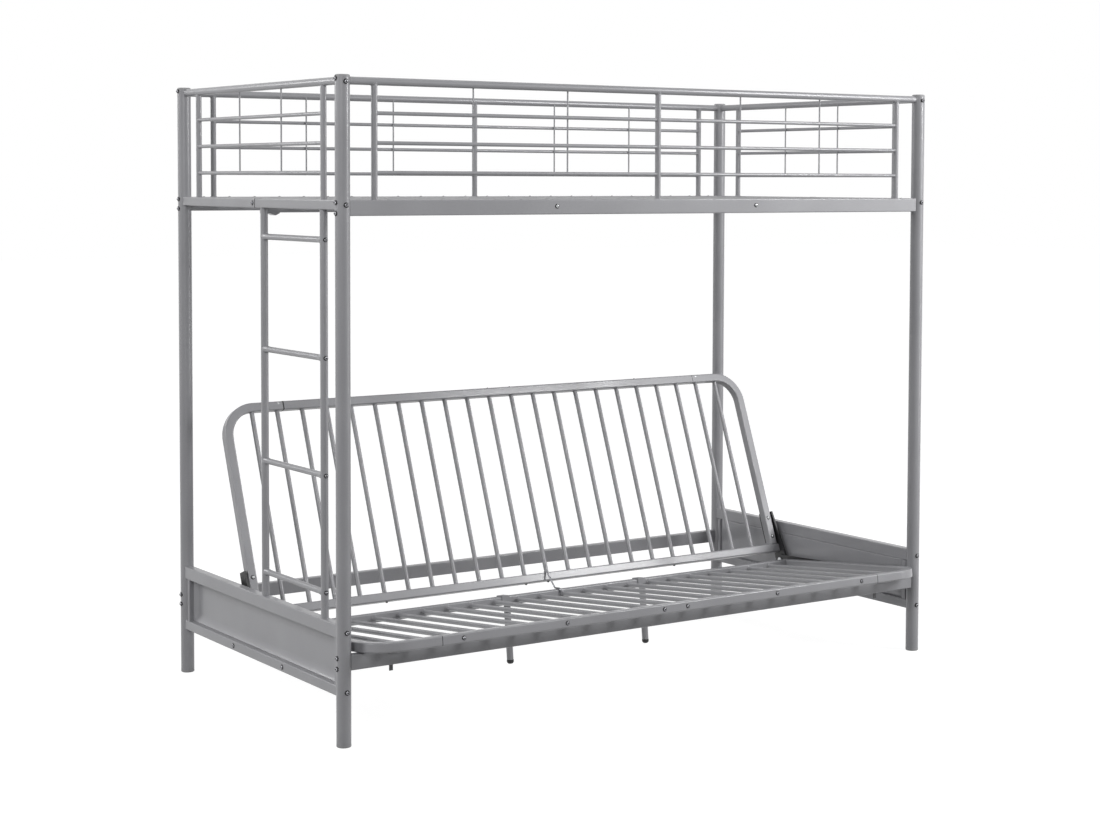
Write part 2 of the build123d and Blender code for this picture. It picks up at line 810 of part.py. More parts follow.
# End caps: moulded lids with a stem in the open rear ends of the seat's sides
cap_start = seat_frame.from_local_coords(Vector(0, seat_rear + half_tube, 0))
cap_places = [(-frame_half_width, 0), (frame_half_width, 0)]
cap_stem_size = frame_tube - 2 * (tube_wall + plug_clearance)
with BuildPart() as seat_end_caps:
    with BuildSketch(Plane(cap_start, (1, 0, 0), seat_back_dir)):
        with Locations(*cap_places):
            RectangleRounded(frame_tube, frame_tube, frame_corner)
    extrude(amount=cap_head)
    chamfer(
        seat_end_caps.edges().group_by(Axis(cap_start, seat_back_dir))[-1], length=cap_edge
    )
    with BuildSketch(Plane(cap_start, (1, 0, 0), seat_back_dir)):
        with Locations(*cap_places):
            RectangleRounded(cap_stem_size, cap_stem_size, frame_corner - tube_wall)
    extrude(amount=-plug_depth)
keep(seat_end_caps, "seat_end_caps")

back_frame = back_plane.offset(-pivot_offset)
frame_rail(back_frame, back_up_dir, seam_half, back_top, "back_top_rail")
frame_rail(
    back_frame, back_up_dir, frame_outer_x + back_rail_stub, pivot_to_back, "back_bottom_rail"
)
back_side_right = frame_corner_piece(
    back_frame, back_up_dir, back_top, pivot_to_back + half_tube, "back_side_right"
)
left_copy(back_side_right, "back_side_left")
frame_slats(
    back_frame, back_up_dir, back_top - half_tube, pivot_to_back + half_tube, "back_slats"
)

# Link plates: each has the eye of its pivot and a straight slot that climbs over the stud
link_place = side_plane(frame_outer_x, seat_back_dir, seat_plane.origin)
guide_reach = guide_y - front_y
slot_start = Vector(
    guide_reach * tilt_cos + guide_stud_drop * tilt_sin,
    guide_reach * tilt_sin - guide_stud_drop * tilt_cos,
)
slot_end = Vector(guide_reach + seat_travel, -guide_stud_drop)
slot_run = slot_end - slot_start
slot_mid = (slot_start + slot_end) / 2
with BuildPart() as link_plates:
    with BuildSketch(link_place):
        with Locations(slot_start):
            Circle(link_nose_radius)
        with Locations(slot_end):
            Circle(link_heel_radius)
        with Locations((pivot_r, pivot_n)):
            Circle(link_eye_radius)
        make_hull()
        with Locations(slot_mid):
            SlotCenterToCenter(
                slot_run.length,
                2 * (guide_stud_radius + guide_clearance),
                rotation=degrees(atan2(slot_run.Y, slot_run.X)),
                mode=Mode.SUBTRACT,
            )
        with Locations((pivot_r, pivot_n)):
            Circle(pin_radius + pin_running_fit, mode=Mode.SUBTRACT)
    extrude(amount=link_thickness)
    mirror(about=Plane.YZ)
keep(link_plates, "link_plates")

# Back arms: plates that turn on the pivots, each with a flange behind the back's leg
arm_place = side_plane(arm_inner_x, back_up_dir, pivot)
flange_start_x = inner_half + arm_flange_inset
flange_w = -pivot_offset - half_tube
with BuildPart() as back_arms:
    with BuildSketch(arm_place):
        Circle(arm_eye_radius)
        with Locations((arm_length - arm_end_length / 2, -pivot_offset)):
            Rectangle(arm_end_length, frame_tube)
        make_hull()
        Circle(pin_radius + pin_running_fit, mode=Mode.SUBTRACT)
    extrude(amount=arm_thickness)
    with BuildSketch(back_plane.offset(flange_w)):
        with Locations(((flange_start_x + arm_outer_x) / 2, (arm_flange_start + arm_length) / 2)):
            Rectangle(arm_outer_x - flange_start_x, arm_length - arm_flange_start)
    extrude(amount=-arm_flange_thickness)
    mirror(about=Plane.YZ)
keep(back_arms, "back_arms")

# Pivot pins: a head inside, a collar outside the arm, and an end that lies in the cradle
pin_end_x = panel_face_x - pin_end_gap
with BuildPart() as pivot_pins:
    with BuildSketch(Plane.YZ.offset(frame_outer_x - pin_head)):
        with Locations((pivot.Y, pivot.Z)):
            Circle(pin_head_radius)
    extrude(amount=pin_head)
    with BuildSketch(Plane.YZ.offset(frame_outer_x)):
        with Locations((pivot.Y, pivot.Z)):
            Circle(pin_radius)
    extrude(amount=pin_end_x - frame_outer_x)
    with BuildSketch(Plane.YZ.offset(arm_outer_x + arm_gap)):
        with Locations((pivot.Y, pivot.Z)):
            Circle(pin_head_radius)
    extrude(amount=pin_head)
    mirror(about=Plane.YZ)
keep(pivot_pins, "pivot_pins")

# Support legs: tubes square to the seat under its rear rail, with domed tips, held by saddles
rear_rail_mid = seat_frame.from_local_coords(Vector(0, seat_rear, 0))
leg_reach = (rear_rail_mid.Z - leg_floor_gap) / tilt_cos
tip_plane = Plane(rear_rail_mid - seat_plane.z_dir * leg_reach, (1, 0, 0), seat_plane.z_dir)
leg_places = [(x, 0) for x in leg_xs]
with BuildPart() as support_legs:
    with BuildSketch(tip_plane.offset(tip_height)):
        with Locations(*leg_places):
            ring_outline(leg_radius, leg_wall)
    extrude(amount=leg_reach - tip_height)
    with BuildSketch(side_plane(-inner_half, seat_back_dir, rear_rail_mid)):
        Rectangle(frame_tube, frame_tube)
    extrude(amount=2 * inner_half, mode=Mode.SUBTRACT)
keep(support_legs, "support_legs")

with BuildPart() as leg_tips:
    with BuildSketch(tip_plane):
        with Locations(*leg_places):
            Circle(tip_radius)
    extrude(amount=tip_height)
    fillet(leg_tips.edges().group_by(Axis(tip_plane.origin, tip_plane.z_dir))[0], radius=tip_dome)
    with BuildSketch(tip_plane.offset(tip_height)):
        with Locations(*leg_places):
            Circle(leg_radius - leg_wall - tip_fit)
    extrude(amount=tip_stem)
keep(leg_tips, "leg_tips")

saddle_inner = half_tube + saddle_fit
saddle_outer = saddle_inner + saddle_thickness
with BuildPart() as leg_saddles:
    for x in leg_xs:
        with BuildSketch(
            side_plane(x - saddle_shift - saddle_width / 2, seat_back_dir, rear_rail_mid)
        ):
            with BuildLine():
                Polyline(
                    (-saddle_outer, half_tube - saddle_leg),
                    (-saddle_outer, saddle_outer),
                    (saddle_outer, saddle_outer),
                    (saddle_outer, half_tube - saddle_leg),
                    (saddle_inner, half_tube - saddle_leg),
                    (saddle_inner, saddle_inner),
                    (-saddle_inner, saddle_inner),
                    (-saddle_inner, half_tube - saddle_leg),
                    close=True,
                )
            make_face()
        extrude(amount=saddle_width)
keep(leg_saddles, "leg_saddles")

# Stay: a wire that hooks over the back's bottom rail and the seat's rear rail
stay_off = stay_gap + stay_radius
back_over = pivot_to_back + half_tube + stay_off
back_front = half_tube - pivot_offset + stay_off
seat_over = seat_mid + half_tube + stay_off
seat_front = seat_rear - half_tube - stay_off
stay_points = [
    back_plane.from_local_coords(Vector(stay_x, back_over, back_front - stay_hold)),
    back_plane.from_local_coords(Vector(stay_x, back_over, back_front)),
    seat_plane.from_local_coords(Vector(stay_x, seat_rear + half_tube, seat_over)),
    seat_plane.from_local_coords(Vector(stay_x, seat_front, seat_over)),
    seat_plane.from_local_coords(Vector(stay_x, seat_front, seat_over - stay_drop)),
]
with BuildPart() as stay_wire:
    with BuildLine():
        FilletPolyline(*stay_points, radius=stay_bend)
    with BuildSketch(Plane(stay_points[0], (1, 0, 0), stay_points[1] - stay_points[0])):
        Circle(stay_radius)
    sweep()
keep(stay_wire, "stay_wire")


# Bolt heads: short cylinders with a coned crown
def bolt_heads(plane, places, radius, head, dome):
    """Heads on a plane, added to the part that is open."""
    with BuildSketch(plane) as shank:
        with Locations(*places):
            Circle(radius)
    extrude(shank.sketch, amount=head - dome)
    with BuildSketch(plane.offset(head - dome)) as crown:
        with Locations(*places):
            Circle(radius)
    extrude(crown.sketch, amount=dome, taper=45)


def small_heads(plane, places):
    """Small bolt heads, added to the part that is open."""
    bolt_heads(plane, places, small_bolt_radius, small_bolt_head, small_bolt_dome)


side_bolt_zs = [top_rail_z + cap_bolt_rise]
for rail_z in (deck_rail_z, lower_rail_z):
    side_bolt_zs += [rail_z + rail_bolt_offset, rail_z - rail_bolt_offset]
end_bolt_zs = [top_rail_z - cap_bolt_drop, end_rail_z, panel_top_mid_z, panel_foot_mid_z]
post_head = post_radius + post_bolt_head
with BuildPart() as post_bolts:
    bolt_heads(
        Plane.YZ.offset(post_x),
        [(y, z) for y in (front_y, rear_y) for z in side_bolt_zs],
        post_bolt_radius,
        post_head,
        bolt_dome,
    )
    mirror(about=Plane.YZ)
    bolt_heads(
        Plane.XZ.offset(-front_y),
        [(x, z) for x in (-post_x, post_x) for z in end_bolt_zs],
        post_bolt_radius,
        post_head,
        bolt_dome,
    )
    bolt_heads(
        Plane((0, rear_y, 0), (-1, 0, 0), (0, 1, 0)),
        [(x, z) for x in (-post_x, post_x) for z in end_bolt_zs],
        post_bolt_radius,
        post_head,
        bolt_dome,
    )
    cut_for_posts()
keep(post_bolts, "post_bolts")

with BuildPart() as ladder_bolts:
    ladder_bolt_places = [(-post_x, z) for z in rung_zs]
    ladder_head = ladder_rail_radius + small_bolt_head
    bolt_heads(
        Plane.XZ.offset(-ladder_front_y),
        ladder_bolt_places,
        small_bolt_radius,
        ladder_head,
        small_bolt_dome,
    )
    bolt_heads(
        Plane((0, ladder_rear_y, 0), (-1, 0, 0), (0, 1, 0)),
        [(-x, z) for x, z in ladder_bolt_places],
        small_bolt_radius,
        ladder_head,
        small_bolt_dome,
    )
    for y in (ladder_front_y, ladder_rear_y):
        cut_round(-post_x, y, ladder_rail_radius + saddle_gap, panel_top_z, end_rail_low_z)
keep(ladder_bolts, "ladder_bolts")

with BuildPart() as rail_bolts:
    small_heads(Plane.YZ.offset(post_x + end_rail_size / 2), [(mid_y + beam_bolt_y, end_rail_z)])
    small_heads(
        Plane.YZ.offset(panel_outer_x), [(y, panel_foot_mid_z) for y in (guide_y, rest_y)]
    )
    mirror(about=Plane.YZ)
    small_heads(
        Plane.XZ.offset(side_rail_depth / 2 - front_y),
        [(x, deck_rail_z + deck_bolt_rise) for x in (-deck_bolt_x, deck_bolt_x)],
    )
keep(rail_bolts, "rail_bolts")

outer_bolt_x = frame_seam_x - seat_bolt_inset
seat_bolt_xs = (middle_bolt_x, (middle_bolt_x + outer_bolt_x) / 2, outer_bolt_x)
with BuildPart() as seat_bolts:
    small_heads(
        Plane(
            seat_frame.from_local_coords(Vector(0, -seat_overhang - half_tube, 0)),
            (1, 0, 0),
            -seat_back_dir,
        ),
        [(side * x, 0) for side in (-1, 1) for x in seat_bolt_xs],
    )
keep(seat_bolts, "seat_bolts")

with BuildPart() as link_bolts:
    small_heads(
        side_plane(link_outer_x, seat_back_dir, seat_plane.origin),
        [(r, seat_mid) for r in link_bolt_places],
    )
    mirror(about=Plane.YZ)
keep(link_bolts, "link_bolts")

with BuildPart() as back_bolts:
    small_heads(
        back_plane.offset(half_tube - pivot_offset), [(frame_half_width, v) for v in arm_bolts]
    )
    small_heads(
        Plane(
            back_plane.from_local_coords(Vector(0, 0, flange_w - arm_flange_thickness)),
            (-1, 0, 0),
            -back_plane.z_dir,
        ),
        [(-frame_half_width, v) for v in arm_bolts],
    )
    mirror(about=Plane.YZ)
    back_screw_xs = (middle_bolt_x, frame_seam_x - back_screw_inset)
    back_screw_places = [side * x for side in (-1, 1) for x in back_screw_xs]
    bolt_heads(
        Plane(
            back_frame.from_local_coords(Vector(0, back_top + half_tube, 0)),
            (1, 0, 0),
            back_up_dir,
        ),
        [(x, 0) for x in back_screw_places],
        back_screw_radius,
        back_screw_head,
        small_bolt_dome,
    )
    bolt_heads(
        Plane(
            back_frame.from_local_coords(Vector(0, pivot_to_back - half_tube, 0)),
            (1, 0, 0),
            -back_up_dir,
        ),
        [(x, 0) for x in back_screw_places],
        back_screw_radius,
        back_screw_head,
        small_bolt_dome,
    )
keep(back_bolts, "back_bolts")
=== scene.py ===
import math
import bmesh
import bpy
from mathutils import Matrix, Vector


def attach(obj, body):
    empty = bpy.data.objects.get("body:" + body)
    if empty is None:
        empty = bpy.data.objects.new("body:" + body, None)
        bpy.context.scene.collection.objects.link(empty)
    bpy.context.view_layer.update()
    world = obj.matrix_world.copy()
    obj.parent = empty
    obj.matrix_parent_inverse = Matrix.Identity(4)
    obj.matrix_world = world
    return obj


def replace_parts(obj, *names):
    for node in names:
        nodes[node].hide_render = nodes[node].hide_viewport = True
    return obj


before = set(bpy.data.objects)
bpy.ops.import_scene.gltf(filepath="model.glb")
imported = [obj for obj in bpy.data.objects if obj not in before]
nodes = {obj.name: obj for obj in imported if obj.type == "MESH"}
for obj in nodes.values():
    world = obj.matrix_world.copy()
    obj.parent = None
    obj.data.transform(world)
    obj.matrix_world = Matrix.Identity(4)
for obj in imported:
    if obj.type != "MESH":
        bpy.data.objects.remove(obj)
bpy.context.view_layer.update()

# Camera: a long lens at standing height, in front of the ladder's end of the bed.
# The lens is shifted down, as on a product photograph, so that the posts stay nearly upright.
IMAGE_WIDTH = 1100
FOCAL_PX = 2059.82
LENS_SHIFT = (-0.0161, -0.1109)
EYE = (-3.3912, -4.9867, 1.4249)
VIEW_YAW = 0.5975
VIEW_PITCH = 0.05308
VIEW_ROLL = 0.00322
camera_data = bpy.data.cameras.new("photo_camera")
camera_data.sensor_width = 36
camera_data.lens = camera_data.sensor_width * FOCAL_PX / IMAGE_WIDTH
camera_data.shift_x, camera_data.shift_y = LENS_SHIFT
camera = bpy.data.objects.new("photo_camera", camera_data)
camera.location = EYE
facing = Matrix.Rotation(-VIEW_YAW, 3, "Z") @ Matrix.Rotation(math.pi / 2 - VIEW_PITCH, 3, "X")
camera.rotation_euler = (facing @ Matrix.Rotation(VIEW_ROLL, 3, "Z")).to_euler()
bpy.context.scene.collection.objects.link(camera)
bpy.context.scene.camera = camera

# Studio: a white paper sweep under and behind the bed, lit by soft lamps round it.
# The paper is white to the camera and in reflections, and keeps the bed's soft shadow.
scene = bpy.context.scene
scene.view_settings.view_transform = "Standard"


def linear(code):
    """The linear colour of an sRGB hex value."""
    parts = [int(code[i:i + 2], 16) / 255 for i in (1, 3, 5)]
    return [p / 12.92 if p <= 0.04045 else ((p + 0.055) / 1.055) ** 2.4 for p in parts] + [1]


def node(tree, kind, settings=None, links=None):
    """Add a node with its settings, and link sockets of other nodes to its inputs."""
    new = tree.nodes.new(kind)
    for name, value in (settings or {}).items():
        if name in new.inputs:
            new.inputs[name].default_value = value
        else:
            setattr(new, name, value)
    for name, socket in (links or {}).items():
        tree.links.new(socket, new.inputs[name])
    return new


def seen_directly(tree):
    """1 for rays from the camera, off gloss and through glass, and 0 for soft light."""
    path = node(tree, "ShaderNodeLightPath")
    either = node(tree, "ShaderNodeMath", {"operation": "MAXIMUM"},
                  {0: path.outputs["Is Camera Ray"], 1: path.outputs["Is Glossy Ray"]})
    return node(tree, "ShaderNodeMath", {"operation": "MAXIMUM"},
                {0: either.outputs[0], 1: path.outputs["Is Transmission Ray"]}).outputs[0]


world = bpy.data.worlds.new("studio_world")
scene.world = world
world.use_nodes = True
room = world.node_tree
room.nodes.clear()
dim = node(room, "ShaderNodeBackground", {"Color": linear("#f6f7f9"), "Strength": 0.05})
white = node(room, "ShaderNodeBackground", {"Color": linear("#ffffff"), "Strength": 1})
backdrop = node(room, "ShaderNodeMixShader", None,
                {0: seen_directly(room), 1: dim.outputs[0], 2: white.outputs[0]})
node(room, "ShaderNodeOutputWorld", None, {"Surface": backdrop.outputs[0]})

SWEEP_SIZE = 60
SWEEP_DROP = 0.0005
bpy.ops.object.select_all(action="DESELECT")
bpy.ops.mesh.primitive_plane_add(size=SWEEP_SIZE, location=(0, 0, -SWEEP_DROP))
floor = bpy.context.object
floor.name = "studio_floor"
floor_paper = bpy.data.materials.new("white_paper_sweep")
floor_paper.use_nodes = True
paper = floor_paper.node_tree
paper.nodes.clear()
matt = node(paper, "ShaderNodeBsdfDiffuse", {"Color": linear("#808080")})
# The paper is held nearly white by the bed, where the lamps add their light, and white past 3 m.
reach = node(paper, "ShaderNodeVectorMath", {"operation": "LENGTH"},
             {0: node(paper, "ShaderNodeTexCoord").outputs["Object"]})
level = node(paper, "ShaderNodeMapRange",
             {"From Min": 1.4, "From Max": 3.0, "To Min": 0.93, "To Max": 1.0},
             {"Value": reach.outputs["Value"]})
glow = node(paper, "ShaderNodeEmission", {"Color": linear("#ffffff")},
            {"Strength": level.outputs["Result"]})
lit = node(paper, "ShaderNodeAddShader", None, {0: matt.outputs[0], 1: glow.outputs[0]})
sheet = node(paper, "ShaderNodeMixShader", None,
             {0: seen_directly(paper), 1: matt.outputs[0], 2: lit.outputs[0]})
node(paper, "ShaderNodeOutputMaterial", None, {"Surface": sheet.outputs[0]})
floor.data.materials.append(floor_paper)


def lamp(name, place, aim, width, height, watts):
    """A soft rectangular lamp aimed at a point."""
    data = bpy.data.lights.new(name, "AREA")
    data.shape = "RECTANGLE"
    data.size = width
    data.size_y = height
    data.energy = watts
    lamp_object = bpy.data.objects.new(name, data)
    lamp_object.location = place
    way = Vector(aim) - Vector(place)
    lamp_object.rotation_euler = way.to_track_quat("-Z", "Y").to_euler()
    scene.collection.objects.link(lamp_object)


lamp("left_lamp", (-8.4, 1.1, 4.2), aim=(0, 0, 0.9), width=2.2, height=3.6, watts=215)
lamp("ladder_lamp", (-3.6, -3.2, 3.0), aim=(-0.4, 0, 0.9), width=0.8, height=2.0, watts=74)
lamp("near_lamp", (2.8, -3.0, 2.6), aim=(0.4, 0, 0.9), width=0.9, height=2.0, watts=120)
lamp("side_strip", (4.0, -3.2, 1.2), aim=(0.9, 0, 1.2), width=0.45, height=2.2, watts=26)
lamp("top_lamp", (0, -0.5, 4.6), aim=(0, 0, 0.6), width=3.0, height=2.0, watts=14)
lamp("rear_lamp", (-3.6, 4.0, 2.8), aim=(0, 0, 0.9), width=1.4, height=2.0, watts=60)

# Posts: four round steel tubes of 38 mm from floor to guard, welded shut along their length.
# They are blasted and powder coated in silver: polyester with aluminium flake, baked to a
# smooth skin of soft gloss over a faint orange peel.


def new_material(name):
    """An empty material, its tree, and the object's coordinates in metres."""
    material = bpy.data.materials.new(name)
    material.use_nodes = True
    tree = material.node_tree
    tree.nodes.clear()
    return material, tree, node(tree, "ShaderNodeTexCoord").outputs["Object"]


silver_paint, tree, place = new_material("silver_powder_coat")
# Cloud: the coat's thickness drifts over about 160 mm.
cloud = node(tree, "ShaderNodeTexNoise", {"Scale": 1000 / 160, "Detail": 2}, {"Vector": place})
shade = node(tree, "ShaderNodeValToRGB", None, {"Fac": cloud.outputs["Fac"]})
shade.color_ramp.elements[0].position = 0.3
shade.color_ramp.elements[0].color = linear("#98989b")
shade.color_ramp.elements[1].position = 0.7
shade.color_ramp.elements[1].color = linear("#a0a0a3")
# Flake: aluminium grains of 0.05 mm, drawn at 0.8 mm so that they show.
flake = node(tree, "ShaderNodeTexVoronoi", {"Scale": 1000 / 0.8}, {"Vector": place})
grain = node(tree, "ShaderNodeValToRGB", None, {"Fac": flake.outputs["Distance"]})
grain.color_ramp.elements[0].color = linear("#ffffff")
grain.color_ramp.elements[1].color = linear("#e6e6e8")
hue = node(tree, "ShaderNodeMix", {"data_type": "RGBA", "blend_type": "MULTIPLY", "Factor": 1.0},
           {"A": shade.outputs["Color"], "B": grain.outputs["Color"]})
# Orange peel: skin waves about 2 mm across, drawn at 2.5 mm.
peel = node(tree, "ShaderNodeTexNoise", {"Scale": 1000 / 2.5, "Detail": 3, "Roughness": 0.55},
            {"Vector": place})
gloss = node(tree, "ShaderNodeMapRange", {"To Min": 0.36, "To Max": 0.48},
             {"Value": peel.outputs["Fac"]})
# Paint draws back from sharp edges and rounds them to about 0.8 mm.
round_edge = node(tree, "ShaderNodeBevel", {"samples": 4, "Radius": 0.0008})
skin = node(tree, "ShaderNodeBump", {"Strength": 0.1, "Distance": 0.0004},
            {"Height": peel.outputs["Fac"], "Normal": round_edge.outputs["Normal"]})
coat = node(tree, "ShaderNodeBsdfPrincipled",
            {"Metallic": 0.05, "Specular IOR Level": 0.35, "Coat Weight": 0.4,
             "Coat Roughness": 0.14, "Coat IOR": 1.5},
            {"Base Color": hue.outputs["Result"], "Roughness": gloss.outputs["Result"],
             "Normal": skin.outputs["Normal"]})
node(tree, "ShaderNodeOutputMaterial", None, {"Surface": coat.outputs["BSDF"]})


def dress(material, *names):
    """Give CAD nodes a material through their objects' slots."""
    for name in names:
        for slot in nodes[name].material_slots:
            slot.material = material


dress(silver_paint, "post_front_left", "post_front_right", "post_rear_left", "post_rear_right")

# Caps and feet: moulded grey polypropylene, pushed into the ends of the posts and seat tubes.
# The mould leaves a fine spark-eroded grain and a dull, slightly waxy surface.
grey_plastic, tree, place = new_material("moulded_polypropylene")
# Grain: pits about 0.4 mm across, drawn at 0.7 mm.
pits = node(tree, "ShaderNodeTexNoise", {"Scale": 1000 / 0.7, "Detail": 2}, {"Vector": place})
tone = node(tree, "ShaderNodeValToRGB", None, {"Fac": pits.outputs["Fac"]})
tone.color_ramp.elements[0].color = linear("#8c8c8e")
tone.color_ramp.elements[1].color = linear("#a6a6a8")
relief = node(tree, "ShaderNodeBump", {"Strength": 0.25, "Distance": 0.0003},
              {"Height": pits.outputs["Fac"]})
dull = node(tree, "ShaderNodeMapRange", {"To Min": 0.42, "To Max": 0.62},
            {"Value": pits.outputs["Fac"]})
plastic = node(tree, "ShaderNodeBsdfPrincipled", {"IOR": 1.49},
               {"Base Color": tone.outputs["Color"], "Roughness": dull.outputs["Result"],
                "Normal": relief.outputs["Normal"]})
node(tree, "ShaderNodeOutputMaterial", None, {"Surface": plastic.outputs["BSDF"]})
dress(grey_plastic, "post_caps", "post_feet", "seat_end_caps")

# Post screws: M8 button heads of nickel-plated steel with a hexagon socket and a black collar.
# They come through the posts into the rails' ends, on two sides of each post.
MID_Y = 0.03799
POST_X = 0.975
FRONT_Y = MID_Y - 0.479
REAR_Y = MID_Y + 0.479
POST_RADIUS = 0.019
SIDE_SCREW_ZS = (1.676, 1.3685, 1.3415, 0.2265, 0.1995)
END_SCREW_ZS = (1.668, 1.3625, 0.2915, 0.1405)
HEAD_SIDES = 28

nickel_plate, tree, place = new_material("nickel_plated_steel")
# Plating: clouds about 1.5 mm across, over turning marks too fine to draw.
cloud = node(tree, "ShaderNodeTexNoise", {"Scale": 1000 / 1.5, "Detail": 3}, {"Vector": place})
tone = node(tree, "ShaderNodeValToRGB", None, {"Fac": cloud.outputs["Fac"]})
tone.color_ramp.elements[0].color = linear("#77777b")
tone.color_ramp.elements[1].color = linear("#98989c")
sheen = node(tree, "ShaderNodeMapRange", {"To Min": 0.12, "To Max": 0.24},
             {"Value": cloud.outputs["Fac"]})
nickel = node(tree, "ShaderNodeBsdfPrincipled", {"Metallic": 1.0},
              {"Base Color": tone.outputs["Color"], "Roughness": sheen.outputs["Result"]})
node(tree, "ShaderNodeOutputMaterial", None, {"Surface": nickel.outputs["BSDF"]})

black_oxide_and_socket_shade, tree, place = new_material("painted_socket_shade_and_oxide_steel")
# Oxide: oily blotches about 1.2 mm across, on the collars; in the sockets this dark steel is painted
# shade.
film = node(tree, "ShaderNodeTexNoise", {"Scale": 1000 / 1.2, "Detail": 3}, {"Vector": place})
tone = node(tree, "ShaderNodeValToRGB", None, {"Fac": film.outputs["Fac"]})
tone.color_ramp.elements[0].color = linear("#131314")
tone.color_ramp.elements[1].color = linear("#232325")
oily = node(tree, "ShaderNodeMapRange", {"To Min": 0.35, "To Max": 0.6},
            {"Value": film.outputs["Fac"]})
oxide = node(tree, "ShaderNodeBsdfPrincipled", {"Specular IOR Level": 0.35},
             {"Base Color": tone.outputs["Color"], "Roughness": oily.outputs["Result"]})
node(tree, "ShaderNodeOutputMaterial", None, {"Surface": oxide.outputs["BSDF"]})


def pick_faces(piece, test):
    """In edit mode, select the faces whose centre and normal pass a test, and no others."""
    bpy.ops.mesh.select_mode(type="FACE")
    bpy.ops.mesh.select_all(action="DESELECT")
    mesh = bmesh.from_edit_mesh(piece.data)
    for face in mesh.faces:
        face.select_set(test(face.calc_center_median(), face.normal))
    bmesh.update_edit_mesh(piece.data)


def button_head(name, radius, height, sunk, steel):
    """A domed screw head with a hexagon socket, dark inside as painted shade, on a dark collar sunk
    below z 0.
    """
    dome = 0.66 * radius
    socket = 0.34 * radius
    rim = 0.3 * height
    crown = 0.6 * height
    bpy.ops.object.select_all(action="DESELECT")
    bpy.ops.mesh.primitive_cylinder_add(
        vertices=HEAD_SIDES, radius=dome, depth=height, location=(0, 0, height / 2))
    head = bpy.context.object
    head.name = name
    bpy.ops.object.transform_apply(location=True)
    bpy.ops.object.mode_set(mode="EDIT")
    pick_faces(head, lambda centre, normal: normal.z > 0.9)
    bpy.ops.mesh.bevel(offset=crown, segments=5, affect="EDGES")
    bpy.ops.object.mode_set(mode="OBJECT")
    # The socket is cut as deep as the crown is high.
    bpy.ops.object.select_all(action="DESELECT")
    bpy.ops.mesh.primitive_cylinder_add(
        vertices=6, radius=socket, depth=2 * crown, location=(0, 0, height))
    hexagon = bpy.context.object
    cut = head.modifiers.new("socket", "BOOLEAN")
    cut.operation = "DIFFERENCE"
    cut.object = hexagon
    bpy.context.view_layer.objects.active = head
    bpy.ops.object.modifier_apply(modifier="socket")
    bpy.data.objects.remove(hexagon)
    head.data.materials.clear()
    head.data.materials.append(steel)
    head.data.materials.append(black_oxide_and_socket_shade)
    # The socket's walls and floor take the dark steel as painted shade.
    for face in head.data.polygons:
        if math.hypot(face.center.x, face.center.y) < socket and face.center.z < 0.95 * height:
            face.material_index = 1
    bpy.ops.object.select_all(action="DESELECT")
    bpy.ops.mesh.primitive_cylinder_add(
        vertices=HEAD_SIDES, radius=radius, depth=sunk + rim, location=(0, 0, (rim - sunk) / 2))
    collar = bpy.context.object
    bpy.ops.object.transform_apply(location=True)
    bpy.ops.object.mode_set(mode="EDIT")
    pick_faces(collar, lambda centre, normal: normal.z > 0.9)
    bpy.ops.mesh.bevel(offset=rim / 2, segments=2, affect="EDGES")
    bpy.ops.object.mode_set(mode="OBJECT")
    collar.data.materials.append(black_oxide_and_socket_shade)
    head.select_set(True)
    bpy.context.view_layer.objects.active = head
    bpy.ops.object.join()
    bpy.ops.object.shade_smooth_by_angle(angle=math.radians(35))
    return head


def set_out(master, name, body, places):
    """Copies of a small piece, joined as one. Each place is a point, a way out and a way up."""
    copies = []
    for number, (point, way, up) in enumerate(places):
        z_axis = Vector(way).normalized()
        y_axis = (Vector(up) - z_axis * z_axis.dot(Vector(up))).normalized()
        turn = Matrix((y_axis.cross(z_axis), y_axis, z_axis)).transposed().to_4x4()
        copy = bpy.data.objects.new(f"{name}_{number}", master.data.copy())
        copy.data.transform(Matrix.Translation(point) @ turn)
        scene.collection.objects.link(copy)
        copies.append(copy)
    bpy.ops.object.select_all(action="DESELECT")
    for copy in copies:
        copy.select_set(True)
    bpy.context.view_layer.objects.active = copies[0]
    bpy.ops.object.join()
    joined = bpy.context.object
    joined.name = name
    bpy.data.objects.remove(master)
    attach(joined, body)
    return joined


def turned(number):
    """A direction for a screw's socket, which stops anywhere as the screw is tightened."""
    angle = 2.4 * number
    return (math.cos(angle), 0.7 * math.sin(angle), math.sin(angle) + 0.1)


places = []
for x in (-1, 1):
    for y in (FRONT_Y, REAR_Y):
        places += [((x * (POST_X + POST_RADIUS), y, z), (x, 0, 0)) for z in SIDE_SCREW_ZS]
    places += [((x * POST_X, FRONT_Y - POST_RADIUS, z), (0, -1, 0)) for z in END_SCREW_ZS]
    places += [((x * POST_X, REAR_Y + POST_RADIUS, z), (0, 1, 0)) for z in END_SCREW_ZS]
head = button_head("post_screw", radius=0.0068, height=0.0045, sunk=0.0016, steel=nickel_plate)
post_screws = set_out(head, "post_screws", "root",
                      [(point, way, turned(i)) for i, (point, way) in enumerate(places)])
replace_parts(post_screws, "post_bolts")

# Guard rails: round tube on top, thinner bars between upright stiles, all welded as one panel.
# Each joint has a small rippled fillet weld under the powder coat.
DECK_TOP_Z = 1.375
TOP_RAIL_Z = 1.671
TOP_RAIL_RADIUS = 0.010
STILE_RADIUS = 0.008
BAR_RADIUS = 0.005
BAR_ZS = (1.443, 1.5175, 1.592)
STILE_XS = (-0.885, 0, 0.885)
END_STILE_YS = (MID_Y - 0.378, MID_Y + 0.378)
BEAD = 0.0017
dress(silver_paint, "guard_front_top_rail", "guard_rear_top_rail", "guard_end_top_rails",
      "guard_front_bars", "guard_rear_bars", "guard_end_bars", "guard_long_stiles",
      "guard_end_stiles")


